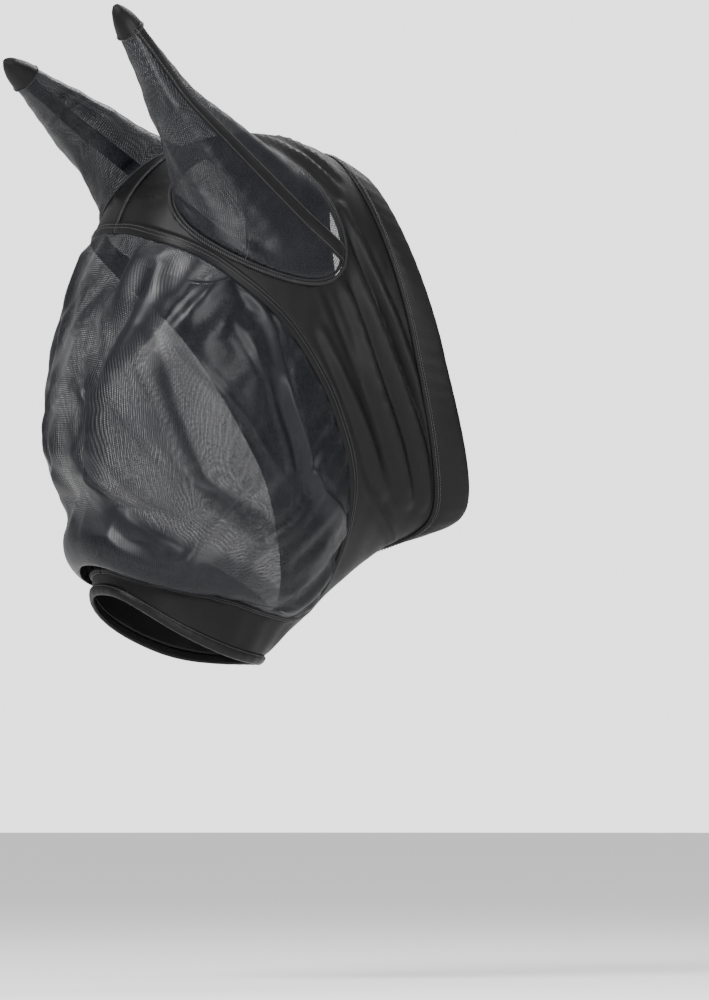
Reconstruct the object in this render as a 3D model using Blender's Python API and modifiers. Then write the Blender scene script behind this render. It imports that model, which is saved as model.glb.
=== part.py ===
"""Stretch fly mask with ears for a horse, modelled as worn: cloth has no shape of its own off the head.

Metres, +Z up, -Y towards the nose, +X to the horse's left. The origin is at the poll, where the crown of
the hood rests on the head. Every cloth piece lies on one head form, form(t, phi): t runs from the nose edge
(0) to the neck edge (1), and phi runs from the middle of the forehead (0) round the horse's left side to the
middle of the jaw (pi). The ears stand on an oval in the same two coordinates.
"""
import math

import bmesh
import bpy
import numpy as np

# Cloth thicknesses and seam sizes
LYCRA = 0.0012
MESH = 0.0006
GAP = 0.0003
HEM_GAP = 0.0016
SEAM_HALF = 0.0020
SEAM_THICK = 0.0016
SEAM_START = 0.002
EYE_HEM_WIDTH = 0.011
EYE_HEM_NARROW = 0.006
EYE_HEM_THICK = 0.0018
NECK_HEM_WIDTH = 0.034
NOSE_HEM_WIDTH = 0.009
HEM_CLOTH = 0.0007
HEM_ROOM = 0.0024
HEM_FOLD = math.radians(45)
ELASTIC_THICK = 0.0008
# Shares of the hem's half width that the elastic covers towards the fold and towards the stitching
ELASTIC_REACH = (0.7, 0.5)
EAR_SEAM_WIDTH = 0.005
EAR_SEAM_THICK = 0.0022
CUTTER_REACH = 0.006
CUTTER_CROWN = 0.030

# Head form: middle of the forehead and of the jaw as (t, y, z), half width, and lean of the widest point
# towards the forehead; then how full the neck edge is behind the jaw, and the nose edge's drop at the sides
FOREHEAD = [(0, -0.197, -0.430), (0.10, -0.200, -0.370), (0.25, -0.204, -0.275), (0.40, -0.202, -0.180),
            (0.52, -0.188, -0.100), (0.60, -0.165, -0.052), (0.70, -0.115, -0.012), (0.80, -0.050, 0.003),
            (0.90, 0.010, -0.004), (1, 0.066, -0.030)]
JAW = [(0, -0.040, -0.495), (0.25, 0.000, -0.463), (0.5, 0.045, -0.424), (0.75, 0.085, -0.392),
       (1, 0.115, -0.375)]
HALF_WIDTH = [(0, 0.058), (0.15, 0.064), (0.35, 0.086), (0.55, 0.103), (0.75, 0.098), (0.9, 0.089),
              (1, 0.088)]
TOP_LEAN = [(0, 0.0), (0.2, 0.10), (0.5, 0.30), (0.7, 0.25), (0.85, 0.05), (1, -0.15)]
NECK_FULLNESS = 0.056
NECK_SHARE = 1.8
JAW_TUCK = 0.35
NOSE_DROP = 0.016
ROUND_DEEP = 0.85
ROUND_WIDE = 0.80
HEAD_MIDDLE = (0, -0.06, -0.25)

# Face opening as (phi in degrees, t), from the brow down the cheek to the jaw corner and back to the nose
FACE_OPENING = [(0, 0.535), (25, 0.542), (54, 0.580), (83, 0.638), (101, 0.648), (122, 0.608),
                (142, 0.478), (154, 0.370), (157.5, 0.325), (150, 0.265), (125, 0.185), (100, 0.138),
                (73, 0.083), (30, 0.045), (0, 0.040)]
JAW_CORNER = 8
CORNER_TRIM = 0.97
BAND_JOIN_DROP = 0.004
# The eye hem changes from wide to narrow over this stretch of its length, from brow to nose
HEM_NARROWS = (0.40, 0.55)
# How far the mesh stands off the face, along its middle: (share from brow to nose, height)
MESH_RISE = [(0, 0), (0.07, 0.007), (0.2, 0.019), (0.35, 0.028), (0.555, 0.034), (0.70, 0.026),
             (0.80, 0.015), (0.90, 0.014), (0.96, 0.008), (1, 0)]
MESH_SIDE_RISE = 0.020
MESH_SIDE_FROM = 0.75
MESH_SIDE_POWER = 1.6
MESH_CORNER_EASE = 0.25

# Ear opening: centre and half axes in (phi, t); the first half axis points to the rear lower end
OVAL_CENTRE = (0.788, 0.712)
OVAL_LONG = (0.298, 0.118)
OVAL_SHORT = (0.414, -0.033)
# Leaf of the ear: distance from the tip, half breadth, half depth
EAR_LEAF = [(0, 0.0010, 0.0010), (0.004, 0.0045, 0.0042), (0.012, 0.0088, 0.0080), (0.030, 0.0140, 0.0120),
            (0.075, 0.0245, 0.0165), (0.120, 0.0345, 0.0240)]
EAR_BREADTH_TURN = math.radians(-50)
EAR_RING_TURN = math.radians(55)
STRIP_AT = math.radians(20)
STRIP_HALF = 0.0062
STRIP_SHARES = (0.2, 0.8)
TIP_LENGTH = 0.029
TIP_RINGS = (TIP_LENGTH, 0.018, 0.008, 0.002)
LEAF_LENGTH = 0.112
LEAF_INSET = 0.0035
LEAF_GAP = 0.0020
# Each ear: tip, and a point further down its axis; the right ear points further forward. It swings about a
# sideways axis through the middle of the leaf's lower end.
EARS = {"left": {"side": 1, "tip": (0.100, -0.241, 0.123), "neck": (0.086, -0.163, 0.020)},
        "right": {"side": -1, "tip": (-0.066, -0.268, 0.074), "neck": (-0.078, -0.170, 0.008)}}

# Mesh densities
TOP_ROWS = 18
CORNER_ROWS = 6
NOSE_ROWS = 14
PANEL_COLUMNS = 6
BAND_COLUMNS = 3
FACE_ROWS = 10
NECK_STEPS = 64
NOSE_STEPS = 40
SEAM_STEPS = 16
EAR_STEPS = 24
SKIRT_RINGS = 4
LEAF_RINGS = 5


def smooth_curve(knots, at):
    """Values at the positions `at` on a smooth curve through knots of (position, value, ...)."""
    table = np.array(knots, float)
    place, value = table[:, 0], table[:, 1:]
    slope = np.gradient(value, place, axis=0)
    at = np.clip(np.asarray(at, float), place[0], place[-1])
    i = np.clip(np.searchsorted(place, at, side="right") - 1, 0, len(place) - 2)
    span = (place[i + 1] - place[i])[..., None]
    u = (at - place[i])[..., None] / span
    ends = (2 * u**3 - 3 * u**2 + 1) * value[i] + (3 * u**2 - 2 * u**3) * value[i + 1]
    return ends + (u**3 - 2 * u**2 + u) * span * slope[i] + (u**3 - u**2) * span * slope[i + 1]


def form(t, phi):
    """Points of the head form."""
    t, phi = np.broadcast_arrays(np.asarray(t, float), np.asarray(phi, float))
    top, bottom = smooth_curve(FOREHEAD, t), smooth_curve(JAW, t)
    c, s = np.cos(phi), np.sin(phi)
    depth = np.sign(c) * np.abs(c) ** ROUND_DEEP
    yz = (top + bottom) / 2 + (top - bottom) / 2 * depth[..., None]
    lean = 1 + smooth_curve(TOP_LEAN, t)[..., 0] * c
    x = smooth_curve(HALF_WIDTH, t)[..., 0] * np.sign(s) * np.abs(s) ** ROUND_WIDE * lean
    drop = NOSE_DROP * s**2 * np.clip(1 - t / 0.6, 0, 1) ** 2
    tuck = 1 - np.exp(-((math.pi - np.abs(phi)) / JAW_TUCK) ** 2)
    rear = NECK_FULLNESS * np.abs(np.sin(phi / 2)) ** NECK_SHARE * tuck * np.clip(t, 0, 1) ** 3
    return np.stack([x, yz[..., 0] + rear - drop / 4, yz[..., 1] - drop], -1)


def unit(v):
    return v / np.linalg.norm(v, axis=-1, keepdims=True)


def slopes(t, phi, step=0.004):
    """How the form's points move with t and with phi."""
    t0, t1 = np.clip(t - step, 0, 1), np.clip(t + step, 0, 1)
    p0, p1 = np.clip(phi - step, 0.02, math.pi - 0.02), np.clip(phi + step, 0.02, math.pi - 0.02)
    p0, p1 = np.minimum(p0, math.pi - 0.02 - 2 * step), np.maximum(p1, 0.02 + 2 * step)
    along = (form(t1, phi) - form(t0, phi)) / (t1 - t0)[..., None]
    around = (form(t, p1) - form(t, p0)) / (p1 - p0)[..., None]
    return along, around


def normal(t, phi):
    """Outward normals of the form, on the horse's left half."""
    t, phi = np.broadcast_arrays(np.asarray(t, float), np.asarray(phi, float))
    along, around = slopes(t, phi)
    return unit(np.cross(around, along))


def lifted(t, phi, height):
    return form(t, phi) + normal(t, phi) * np.asarray(height)[..., None]


def step_sideways(path, distance):
    """Moves a path of (phi, t) across the form by a distance, to the left of its own direction."""
    phi, t = path[:, 0], path[:, 1]
    along, around = slopes(t, phi)
    course = unit(np.gradient(form(t, phi), axis=0))
    aside = np.cross(normal(t, phi), course) * np.asarray(distance).reshape(-1, 1)
    moved = path.copy()
    for k in range(len(path)):
        base = np.stack([around[k], along[k]], 1)
        moved[k] += np.linalg.lstsq(base, aside[k], rcond=None)[0]
    moved[:, 0] = np.clip(moved[:, 0], 0, math.pi)
    return moved


def opening_path():
    """The face opening's edge as (phi, t): brow to jaw corner, then jaw corner to nose."""
    knots = np.array([(math.radians(p), t) for p, t in FACE_OPENING])
    place = form(knots[:, 1], knots[:, 0])
    run = np.concatenate([[0], np.cumsum(np.linalg.norm(np.diff(place, axis=0), axis=1))])
    table = np.column_stack([run, knots])
    upper = np.linspace(0, run[JAW_CORNER], TOP_ROWS + 1)
    lower = np.linspace(run[JAW_CORNER], run[-1], NOSE_ROWS + 1)
    path = smooth_curve(table, np.concatenate([upper, lower[1:]]))
    path[:, 0] = np.clip(path[:, 0], 0, math.pi)
    return path


def hem_widths(count):
    """The eye hem is wide on the hood side and narrow along the nose band."""
    share = np.linspace(0, 1, count)
    blend = np.clip((share - HEM_NARROWS[0]) / (HEM_NARROWS[1] - HEM_NARROWS[0]), 0, 1)
    blend = blend * blend * (3 - 2 * blend)
    return EYE_HEM_WIDTH + (EYE_HEM_NARROW - EYE_HEM_WIDTH) * blend


def t_from_edge(phi, distance, edge):
    """The t that lies a distance in from the neck edge (edge 1) or the nose edge (edge 0)."""
    t = np.linspace(edge, 0.5, 101)
    found = []
    for p, d in zip(*np.broadcast_arrays(np.atleast_1d(phi), distance)):
        line = form(t, np.full_like(t, p))
        run = np.concatenate([[0], np.cumsum(np.linalg.norm(np.diff(line, axis=0), axis=1))])
        found.append(np.interp(d, run, t))
    return np.array(found)


def phi_along(edge, share):
    """The phi at shares of the neck or nose edge's length, from the forehead side to the jaw side."""
    fine = np.linspace(0, math.pi, 361)
    line = form(np.full_like(fine, edge), fine)
    run = np.concatenate([[0], np.cumsum(np.linalg.norm(np.diff(line, axis=0), axis=1))])
    return np.interp(np.asarray(share) * run[-1], run, fine)


def ruled(first, last, columns):
    """Grid of (phi, t) with straight rows from each point of first to the matching point of last."""
    share = np.linspace(0, 1, columns + 1)[None, :, None]
    return first[:, None, :] * (1 - share) + last[:, None, :] * share


def mirrored(points):
    return points * np.array([-1, 1, 1])


def both_halves(points):
    """A left half whose first row lies on the middle plane, made whole."""
    return np.concatenate([mirrored(points[:0:-1]), points])


def material(name, colour, roughness, alpha=1.0):
    made = bpy.data.materials.new(name)
    made.use_nodes = True
    shader = made.node_tree.nodes["Principled BSDF"]
    shader.inputs["Base Color"].default_value = (*colour, 1)
    shader.inputs["Roughness"].default_value = roughness
    shader.inputs["Metallic"].default_value = 0.0
    shader.inputs["Alpha"].default_value = alpha
    return made


def add_mesh(name, verts, faces, finish, origin=(0, 0, 0), parent=None, collection="fly_mask"):
    """A mesh object whose vertices are given in world coordinates and whose origin is at `origin`."""
    mesh = bpy.data.meshes.new(name)
    mesh.from_pydata([tuple(v - np.array(origin)) for v in verts], [], faces)
    mesh.update()
    if finish is not None:
        mesh.materials.append(finish)
    made = bpy.data.objects.new(name, mesh)
    bpy.data.collections[collection].objects.link(made)
    if parent is None:
        made.location = origin
    else:
        made.parent = parent
    mesh.shade_smooth()
    mesh.set_sharp_from_angle(angle=math.radians(40))
    return made


def sheet(name, points, thickness, finish, inside=HEAD_MIDDLE, ring=False, **placing):
    """An open grid of points given a thickness; its first column of faces grows away from `inside`."""
    rows, columns = points.shape[:2]
    verts = points.reshape(-1, 3)
    faces = []
    for i in range(rows if ring else rows - 1):
        for j in range(columns - 1):
            near, far = i * columns + j, (i + 1) % rows * columns + j
            faces.append((near, near + 1, far + 1, far))
    corners = [verts[list(f)] for f in faces[::columns - 1]]
    outward = sum(float(np.dot(np.cross(c[2] - c[0], c[3] - c[1]), c.mean(0) - np.asarray(inside)))
                  for c in corners)
    if outward < 0:
        faces = [f[::-1] for f in faces]
    made = add_mesh(name, verts, faces, finish, **placing)
    shell = made.modifiers.new("thickness", "SOLIDIFY")
    shell.thickness = thickness
    shell.offset = 1
    return made


def keep_off_middle(points, rows, edge):
    """Holds the given rows at a fixed distance from the middle plane, beside a seam."""
    for row in rows:
        points[row, :, 0] = edge
    return points


def on_both_sides(name, points, thickness, finish):
    """A piece of the left side and its twin on the right."""
    return [sheet(name + "_left", points, thickness, finish),
            sheet(name + "_right", mirrored(points), thickness, finish)]


def hood(opening, finish):
    """Lycra side panels from the eye hem to the neck hem, each with its ear opening cut out."""
    widths = hem_widths(len(opening)) + GAP
    outer = step_sideways(opening, widths)
    upper = outer[:TOP_ROWS + 1]
    join_phi = np.linspace(upper[-1, 0], math.pi, CORNER_ROWS + 1)[1:]
    join = np.column_stack([join_phi, np.full(CORNER_ROWS, upper[-1, 1])])
    inner = np.concatenate([upper, join])
    run = np.linalg.norm(np.diff(form(inner[:, 1], inner[:, 0]), axis=0), axis=1)
    neck_phi = phi_along(1, np.concatenate([[0], np.cumsum(run)]) / run.sum())
    neck = np.column_stack([neck_phi, t_from_edge(neck_phi, NECK_HEM_WIDTH + HEM_GAP, 1)])
    grid = ruled(inner, neck, PANEL_COLUMNS)
    points = keep_off_middle(form(grid[..., 1], grid[..., 0]), (0, -1), SEAM_HALF + GAP)
    panels = on_both_sides("hood", points, LYCRA, finish)
    for panel, side in zip(panels, (1, -1)):
        cut = panel.modifiers.new("ear_opening", "BOOLEAN")
        cut.operation = "DIFFERENCE"
        cut.object = ear_cutter(panel.name + "_ear_cutter", side)
    return panels


def nose_band(opening, finish):
    """One lycra band round the nose, from the narrow part of the eye hem to the nose hem."""
    outer = step_sideways(opening, hem_widths(len(opening)) + GAP)
    lower = outer[TOP_ROWS:][::-1]
    join_phi = np.linspace(lower[-1, 0], math.pi, CORNER_ROWS + 1)[1:]
    join = np.column_stack([join_phi, np.full(CORNER_ROWS, lower[-1, 1])])
    lower[-1, 1] -= BAND_JOIN_DROP
    join[:, 1] -= BAND_JOIN_DROP
    inner = np.concatenate([lower, join])
    run = np.linalg.norm(np.diff(form(inner[:, 1], inner[:, 0]), axis=0), axis=1)
    nose_phi = phi_along(0, np.concatenate([[0], np.cumsum(run)]) / run.sum())
    nose = np.column_stack([nose_phi, t_from_edge(nose_phi, NOSE_HEM_WIDTH + HEM_GAP, 0)])
    grid = ruled(inner, nose, BAND_COLUMNS)
    points = keep_off_middle(form(grid[..., 1], grid[..., 0]), (-1,), SEAM_HALF + GAP)
    points[0, :, 0] = 0
    return sheet("nose_band", both_halves(points), LYCRA, finish)


def eye_hems(opening, finish):
    """The turned edge of the lycra round the face opening, in two halves."""
    widths = hem_widths(len(opening))
    shares = (0, 0.5, 1)
    paths = [step_sideways(opening, widths * share) for share in shares]
    points = np.stack([form(p[:, 1], p[:, 0]) for p in paths], 1)
    keep_off_middle(points, (0,), SEAM_HALF + GAP)
    keep_off_middle(points, (-1,), GAP / 2)
    return on_both_sides("eye_hem", points, EYE_HEM_THICK, finish)


def face_mesh(opening, finish):
    """The see-through panel over both eyes, standing off the face as one pouch."""
    inner = step_sideways(opening, np.full(len(opening), -2 * MESH))
    share = np.linspace(0, CORNER_TRIM, TOP_ROWS + 1)
    upper_run = np.linspace(0, 1, TOP_ROWS + 1)
    lower_run = np.linspace(1, 0, NOSE_ROWS + 1)
    upper = np.column_stack([np.interp(share, upper_run, inner[:TOP_ROWS + 1, k]) for k in (0, 1)])
    lower = np.column_stack([np.interp(share, lower_run[::-1], inner[TOP_ROWS:, k][::-1]) for k in (0, 1)])
    grid = ruled(upper, lower, FACE_ROWS)
    down = np.linspace(0, 1, FACE_ROWS + 1)[None, :]
    across = share[:, None]
    middle = smooth_curve(MESH_RISE, down)[..., 0]
    side = MESH_SIDE_RISE * np.sin(math.pi * down)
    weight = np.clip(across / MESH_SIDE_FROM, 0, 1) ** MESH_SIDE_POWER
    ease = np.clip((1 - across) / MESH_CORNER_EASE, 0, 1)
    height = (middle * (1 - weight) + side * weight) * ease
    points = lifted(grid[..., 1], grid[..., 0], height)
    points[0, :, 0] = 0
    return sheet("face_mesh", both_halves(points), MESH, finish)


def hem_profile(width):
    """Folded cloth with room for elastic: (distance in from the edge, height off the form)."""
    low, high = HEM_CLOTH, HEM_CLOTH + HEM_ROOM
    middle, radius = (low + high) / 2, HEM_ROOM / 2
    fold = [(-radius * math.cos(a), middle + radius * math.sin(a)) for a in (HEM_FOLD, -HEM_FOLD)]
    outer = [(width * share, high) for share in (1, 0.5, 0)]
    inner = [(width * share, low) for share in (0, 0.5, 1)]
    return outer + fold + inner


def ring_on_edge(profile, edge):
    """Whole ring of points round the neck (edge 1) or the nose (edge 0), one row for each angle."""
    phi = phi_along(edge, np.linspace(0, 1, (NECK_STEPS if edge else NOSE_STEPS) // 2 + 1))
    rows = []
    outward = form(np.full_like(phi, edge), phi) - form(np.full_like(phi, abs(edge - 0.01)), phi)
    for distance, height in profile:
        t = t_from_edge(phi, max(distance, 0), edge)
        row = lifted(t, phi, np.full_like(phi, height)) - unit(outward) * min(distance, 0)
        row[0, 0] = 0
        row[-1, 0] = 0
        rows.append(row)
    half = np.stack(rows, 1)
    return np.concatenate([half, mirrored(half[-2:0:-1])])


def edge_hem(name, width, edge, finish):
    """A hem folded round the whole neck or nose edge."""
    points = ring_on_edge(hem_profile(width), edge)
    return sheet(name, points, HEM_CLOTH, finish, ring=True)


def edge_elastic(name, hem_width, edge, finish):
    """A flat elastic lying loose inside the hem, on the hem's own facets."""
    height = HEM_CLOTH + (HEM_ROOM - ELASTIC_THICK) / 2
    hem = ring_on_edge([(hem_width * share, height) for share in (1, 0.5, 0)], edge)
    near, far = ELASTIC_REACH
    lower = hem[:, 1] * (1 - near) + hem[:, 2] * near
    upper = hem[:, 1] * (1 - far) + hem[:, 0] * far
    return sheet(name, np.stack([upper, hem[:, 1], lower], 1), ELASTIC_THICK, finish, ring=True)


def middle_seam(name, phi, t_start, t_end, finish):
    """The raised overlocked seam that joins the left and right lycra along the middle plane."""
    t = np.linspace(t_start, t_end, SEAM_STEPS + 1)
    line = form(t, np.full_like(t, phi))
    line[:, 0] = 0
    points = np.stack([line + np.array([x, 0, 0]) for x in (-SEAM_HALF, 0, SEAM_HALF)], 1)
    return sheet(name, points, SEAM_THICK, finish)


def oval_path(outset):
    """Closed path of (phi, t) round the ear opening, moved outward by a distance."""
    angle = np.linspace(0, 2 * math.pi, EAR_STEPS + 1) + STRIP_AT
    path = (np.array(OVAL_CENTRE) + np.cos(angle)[:, None] * np.array(OVAL_LONG)
            + np.sin(angle)[:, None] * np.array(OVAL_SHORT))
    padded = np.concatenate([path[-3:-1], path, path[1:3]])
    return step_sideways(padded, np.full(len(padded), outset))[2:-3]


def ear_cutter(name, side):
    """A plug that follows the ear opening and stands clear of the hood on both sides."""
    path = oval_path(EAR_SEAM_WIDTH + 2 * GAP)
    flip = np.array([side, 1, 1])
    low = lifted(path[:, 1], path[:, 0], np.full(len(path), -CUTTER_REACH)) * flip
    high = lifted(path[:, 1], path[:, 0], np.full(len(path), CUTTER_REACH)) * flip
    count = len(path)
    phi, t = OVAL_CENTRE
    caps = [lifted(t, phi, reach) * flip for reach in (-CUTTER_CROWN, CUTTER_CROWN)]
    verts = np.concatenate([low, high, caps])
    faces = []
    for k in range(count):
        n = (k + 1) % count
        faces += [(k, n, count + n, count + k), (n, k, 2 * count), (count + k, count + n, 2 * count + 1)]
    made = add_mesh(name, verts, faces, None, collection="cutters")
    turned = bmesh.new()
    turned.from_mesh(made.data)
    bmesh.ops.recalc_face_normals(turned, faces=turned.faces)
    turned.to_mesh(made.data)
    turned.free()
    made.hide_render = True
    made.display_type = "WIRE"
    return made


def leaf_ring(ear, from_tip, inset=0.0):
    """Points round the ear's leaf at a distance from its tip, starting at the strip."""
    tip, neck = np.array(ear["tip"]), np.array(ear["neck"])
    axis = unit(neck - tip)
    lateral = unit(np.array([ear["side"], 0, 0]) - axis * axis[0] * ear["side"])
    back = np.cross(axis, lateral) * ear["side"]
    if back[1] < 0:
        back = -back
    breadth, depth = smooth_curve(EAR_LEAF, from_tip)
    angle = np.linspace(0, 2 * math.pi, EAR_STEPS + 1)[:-1] + STRIP_AT + EAR_RING_TURN
    off = angle - EAR_BREADTH_TURN
    radius = breadth * depth / np.sqrt((depth * np.cos(off)) ** 2 + (breadth * np.sin(off)) ** 2) - inset
    centre = tip + axis * from_tip
    return centre + radius[:, None] * (np.cos(angle)[:, None] * back + np.sin(angle)[:, None] * lateral)


def leaf_end(ear):
    """The middle of the leaf's lower end, where the ear flexes."""
    tip, neck = np.array(ear["tip"]), np.array(ear["neck"])
    return tip + unit(neck - tip) * LEAF_LENGTH


def skirt_rings(ear):
    """Rings from the oval, straight up past its seam, and on to the leaf's lower end."""
    path = oval_path(-MESH - GAP)
    flip = np.array([ear["side"], 1, 1])
    foot = form(path[:, 1], path[:, 0]) * flip
    low = lifted(path[:, 1], path[:, 0], np.full(len(path), EAR_SEAM_THICK + MESH)) * flip
    high = leaf_ring(ear, LEAF_LENGTH + LEAF_GAP)
    rings = [foot]
    for share in np.linspace(0, 1, SKIRT_RINGS + 1):
        rings.append(low * (1 - share) + high * share)
    return np.stack(rings, 1)


def split_strip(points):
    """Parts a ring grid into the strip and the cloth that wraps round the rest, with a gap between them."""
    half = STRIP_HALF
    ahead, behind = points[1], points[-1]
    reach_a = np.linalg.norm(ahead - points[0], axis=-1, keepdims=True)
    reach_b = np.linalg.norm(behind - points[0], axis=-1, keepdims=True)
    share_a, share_b = (np.clip(half / reach, *STRIP_SHARES) for reach in (reach_a, reach_b))
    edge_a = points[0] + (ahead - points[0]) * share_a
    edge_b = points[0] + (behind - points[0]) * share_b
    gap_a = unit(ahead - points[0]) * GAP
    gap_b = unit(behind - points[0]) * GAP
    strip = np.stack([edge_b, points[0], edge_a])
    wrap = np.concatenate([[edge_a + gap_a], points[1:], [edge_b + gap_b]])
    return strip, wrap


def ear(name, ear_data, finishes):
    """One ear: seam ring and skirt fixed to the hood, and the leaf that swings with the horse's ear."""
    side = ear_data["side"]
    flip = np.array([side, 1, 1])
    outer, inner = oval_path(EAR_SEAM_WIDTH), oval_path(0.0)
    ring = np.stack([form(p[:, 1], p[:, 0]) * flip for p in (outer, inner)], 1)
    sheet("ear_seam_" + name, ring, EAR_SEAM_THICK, finishes["seam"], ring=True)
    core = skirt_rings(ear_data).mean(axis=(0, 1))
    strip, wrap = split_strip(skirt_rings(ear_data))
    sheet("ear_skirt_" + name, wrap, MESH, finishes["mesh"], inside=core)
    sheet("ear_skirt_strip_" + name, strip, MESH, finishes["lycra"], inside=core)
    pivot = bpy.data.objects.new("ear_joint_" + name, None)
    bpy.data.collections["fly_mask"].objects.link(pivot)
    hinge = leaf_end(ear_data)
    pivot.location = hinge
    moving = {"origin": hinge, "parent": pivot}
    lengths = np.linspace(LEAF_LENGTH, TIP_LENGTH + GAP, LEAF_RINGS + 1)
    insets = np.linspace(LEAF_INSET, 0, LEAF_RINGS + 1)
    leaf = np.stack([leaf_ring(ear_data, d, i) for d, i in zip(lengths, insets)], 1)
    core = leaf.mean(axis=(0, 1))
    strip, wrap = split_strip(leaf)
    sheet("ear_leaf_" + name, wrap, MESH, finishes["mesh"], inside=core, **moving)
    sheet("ear_leaf_strip_" + name, strip, MESH, finishes["lycra"], inside=core, **moving)
    caps = np.stack([leaf_ring(ear_data, d) for d in TIP_RINGS], 1)
    ear_tip("ear_tip_" + name, caps, finishes["lycra"], moving)


def ear_tip(name, rings, finish, moving):
    """Lycra cap over the tip, open below."""
    count, levels = rings.shape[:2]
    verts = np.concatenate([rings.reshape(-1, 3), [rings[:, -1].mean(0)]])
    faces = []
    for k in range(count):
        n = (k + 1) % count
        for j in range(levels - 1):
            faces.append((k * levels + j, k * levels + j + 1, n * levels + j + 1, n * levels + j))
        faces.append((k * levels + levels - 1, len(verts) - 1, n * levels + levels - 1))
    middle = rings.mean(axis=(0, 1))
    turn = sum(float(np.dot(np.cross(verts[f[1]] - verts[f[0]], verts[f[2]] - verts[f[0]]),
                            verts[list(f)].mean(0) - middle)) for f in faces)
    if turn < 0:
        faces = [f[::-1] for f in faces]
    made = add_mesh(name, verts, faces, finish, **moving)
    shell = made.modifiers.new("thickness", "SOLIDIFY")
    shell.thickness = MESH
    shell.offset = 1
    return made


def build():
    for old in list(bpy.data.objects):
        bpy.data.objects.remove(old)
    for group in ("fly_mask", "cutters"):
        bpy.context.scene.collection.children.link(bpy.data.collections.new(group))
    lycra = material("black_lycra", (0.013, 0.013, 0.014), 0.72)
    seam = material("black_overlock_thread", (0.010, 0.010, 0.011), 0.85)
    mesh = material("charcoal_mesh", (0.045, 0.050, 0.060), 0.55, 0.5)
    elastic = material("black_elastic", (0.020, 0.020, 0.021), 0.80)
    opening = opening_path()
    hood(opening, lycra)
    nose_band(opening, lycra)
    eye_hems(opening, lycra)
    face_mesh(opening, mesh)
    edge_hem("neck_hem", NECK_HEM_WIDTH, 1, lycra)
    edge_hem("nose_hem", NOSE_HEM_WIDTH, 0, lycra)
    edge_elastic("neck_elastic", NECK_HEM_WIDTH, 1, elastic)
    edge_elastic("nose_elastic", NOSE_HEM_WIDTH, 0, elastic)
    brow = float(opening[0, 1])
    neck_t = float(t_from_edge(0.0, NECK_HEM_WIDTH + HEM_GAP, 1)[0])
    jaw_t = float(t_from_edge(math.pi, NECK_HEM_WIDTH + HEM_GAP, 1)[0])
    chin_t = float(t_from_edge(math.pi, NOSE_HEM_WIDTH + HEM_GAP, 0)[0])
    middle_seam("crown_seam", 0.0, brow + SEAM_START, neck_t, seam)
    middle_seam("jaw_seam", math.pi, chin_t, jaw_t, seam)
    for name, data in EARS.items():
        ear(name, data, {"lycra": lycra, "seam": seam, "mesh": mesh})


build()
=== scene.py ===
import math

import bpy
import numpy as np
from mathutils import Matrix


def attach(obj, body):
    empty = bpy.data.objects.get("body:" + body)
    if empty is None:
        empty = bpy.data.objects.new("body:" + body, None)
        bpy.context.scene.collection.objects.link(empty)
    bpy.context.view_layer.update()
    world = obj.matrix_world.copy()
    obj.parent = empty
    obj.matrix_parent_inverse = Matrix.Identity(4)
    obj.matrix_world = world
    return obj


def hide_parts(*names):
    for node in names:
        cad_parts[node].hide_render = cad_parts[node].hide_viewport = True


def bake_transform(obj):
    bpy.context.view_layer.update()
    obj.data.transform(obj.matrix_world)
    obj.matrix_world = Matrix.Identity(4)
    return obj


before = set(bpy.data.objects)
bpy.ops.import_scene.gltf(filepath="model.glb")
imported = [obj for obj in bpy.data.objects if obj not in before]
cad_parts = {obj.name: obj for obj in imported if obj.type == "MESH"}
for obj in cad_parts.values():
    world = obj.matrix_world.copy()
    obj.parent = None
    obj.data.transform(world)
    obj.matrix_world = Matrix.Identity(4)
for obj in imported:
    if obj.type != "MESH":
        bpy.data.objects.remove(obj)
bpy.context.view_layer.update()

# The head form, as in part.py: form(t, phi), with t from the nose edge (0) to the neck edge (1) and phi from
# the middle of the forehead (0) to the middle of the jaw (pi), on the horse's left half.
FOREHEAD = [(0, -0.197, -0.430), (0.10, -0.200, -0.370), (0.25, -0.204, -0.275), (0.40, -0.202, -0.180),
            (0.52, -0.188, -0.100), (0.60, -0.165, -0.052), (0.70, -0.115, -0.012), (0.80, -0.050, 0.003),
            (0.90, 0.010, -0.004), (1, 0.066, -0.030)]
JAW = [(0, -0.040, -0.495), (0.25, 0.000, -0.463), (0.5, 0.045, -0.424), (0.75, 0.085, -0.392),
       (1, 0.115, -0.375)]
HALF_WIDTH = [(0, 0.058), (0.15, 0.064), (0.35, 0.086), (0.55, 0.103), (0.75, 0.098), (0.9, 0.089),
              (1, 0.088)]
TOP_LEAN = [(0, 0.0), (0.2, 0.10), (0.5, 0.30), (0.7, 0.25), (0.85, 0.05), (1, -0.15)]
NECK_FULLNESS = 0.056
NECK_SHARE = 1.8
JAW_TUCK = 0.35
NOSE_DROP = 0.016
ROUND_DEEP = 0.85
ROUND_WIDE = 0.80
FACE_OPENING = [(0, 0.535), (25, 0.542), (54, 0.580), (83, 0.638), (101, 0.648), (122, 0.608), (142, 0.478),
                (154, 0.370), (157.5, 0.325), (150, 0.265), (125, 0.185), (100, 0.138), (73, 0.083),
                (30, 0.045), (0, 0.040)]
JAW_CORNER = 8
MESH_RISE = [(0, 0), (0.07, 0.007), (0.2, 0.019), (0.35, 0.028), (0.555, 0.034), (0.70, 0.026), (0.80, 0.015),
             (0.90, 0.014), (0.96, 0.008), (1, 0)]
MESH_SIDE_RISE = 0.020
MESH_SIDE_FROM = 0.75
MESH_SIDE_POWER = 1.6
MESH_CORNER_EASE = 0.25
CORNER_TRIM = 0.97
BAND_JOIN_DROP = 0.004
HEM_NARROWS = (0.40, 0.55)
OVAL_CENTRE = np.array((0.788, 0.712))
OVAL_LONG = np.array((0.298, 0.118))
OVAL_SHORT = np.array((0.414, -0.033))
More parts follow.
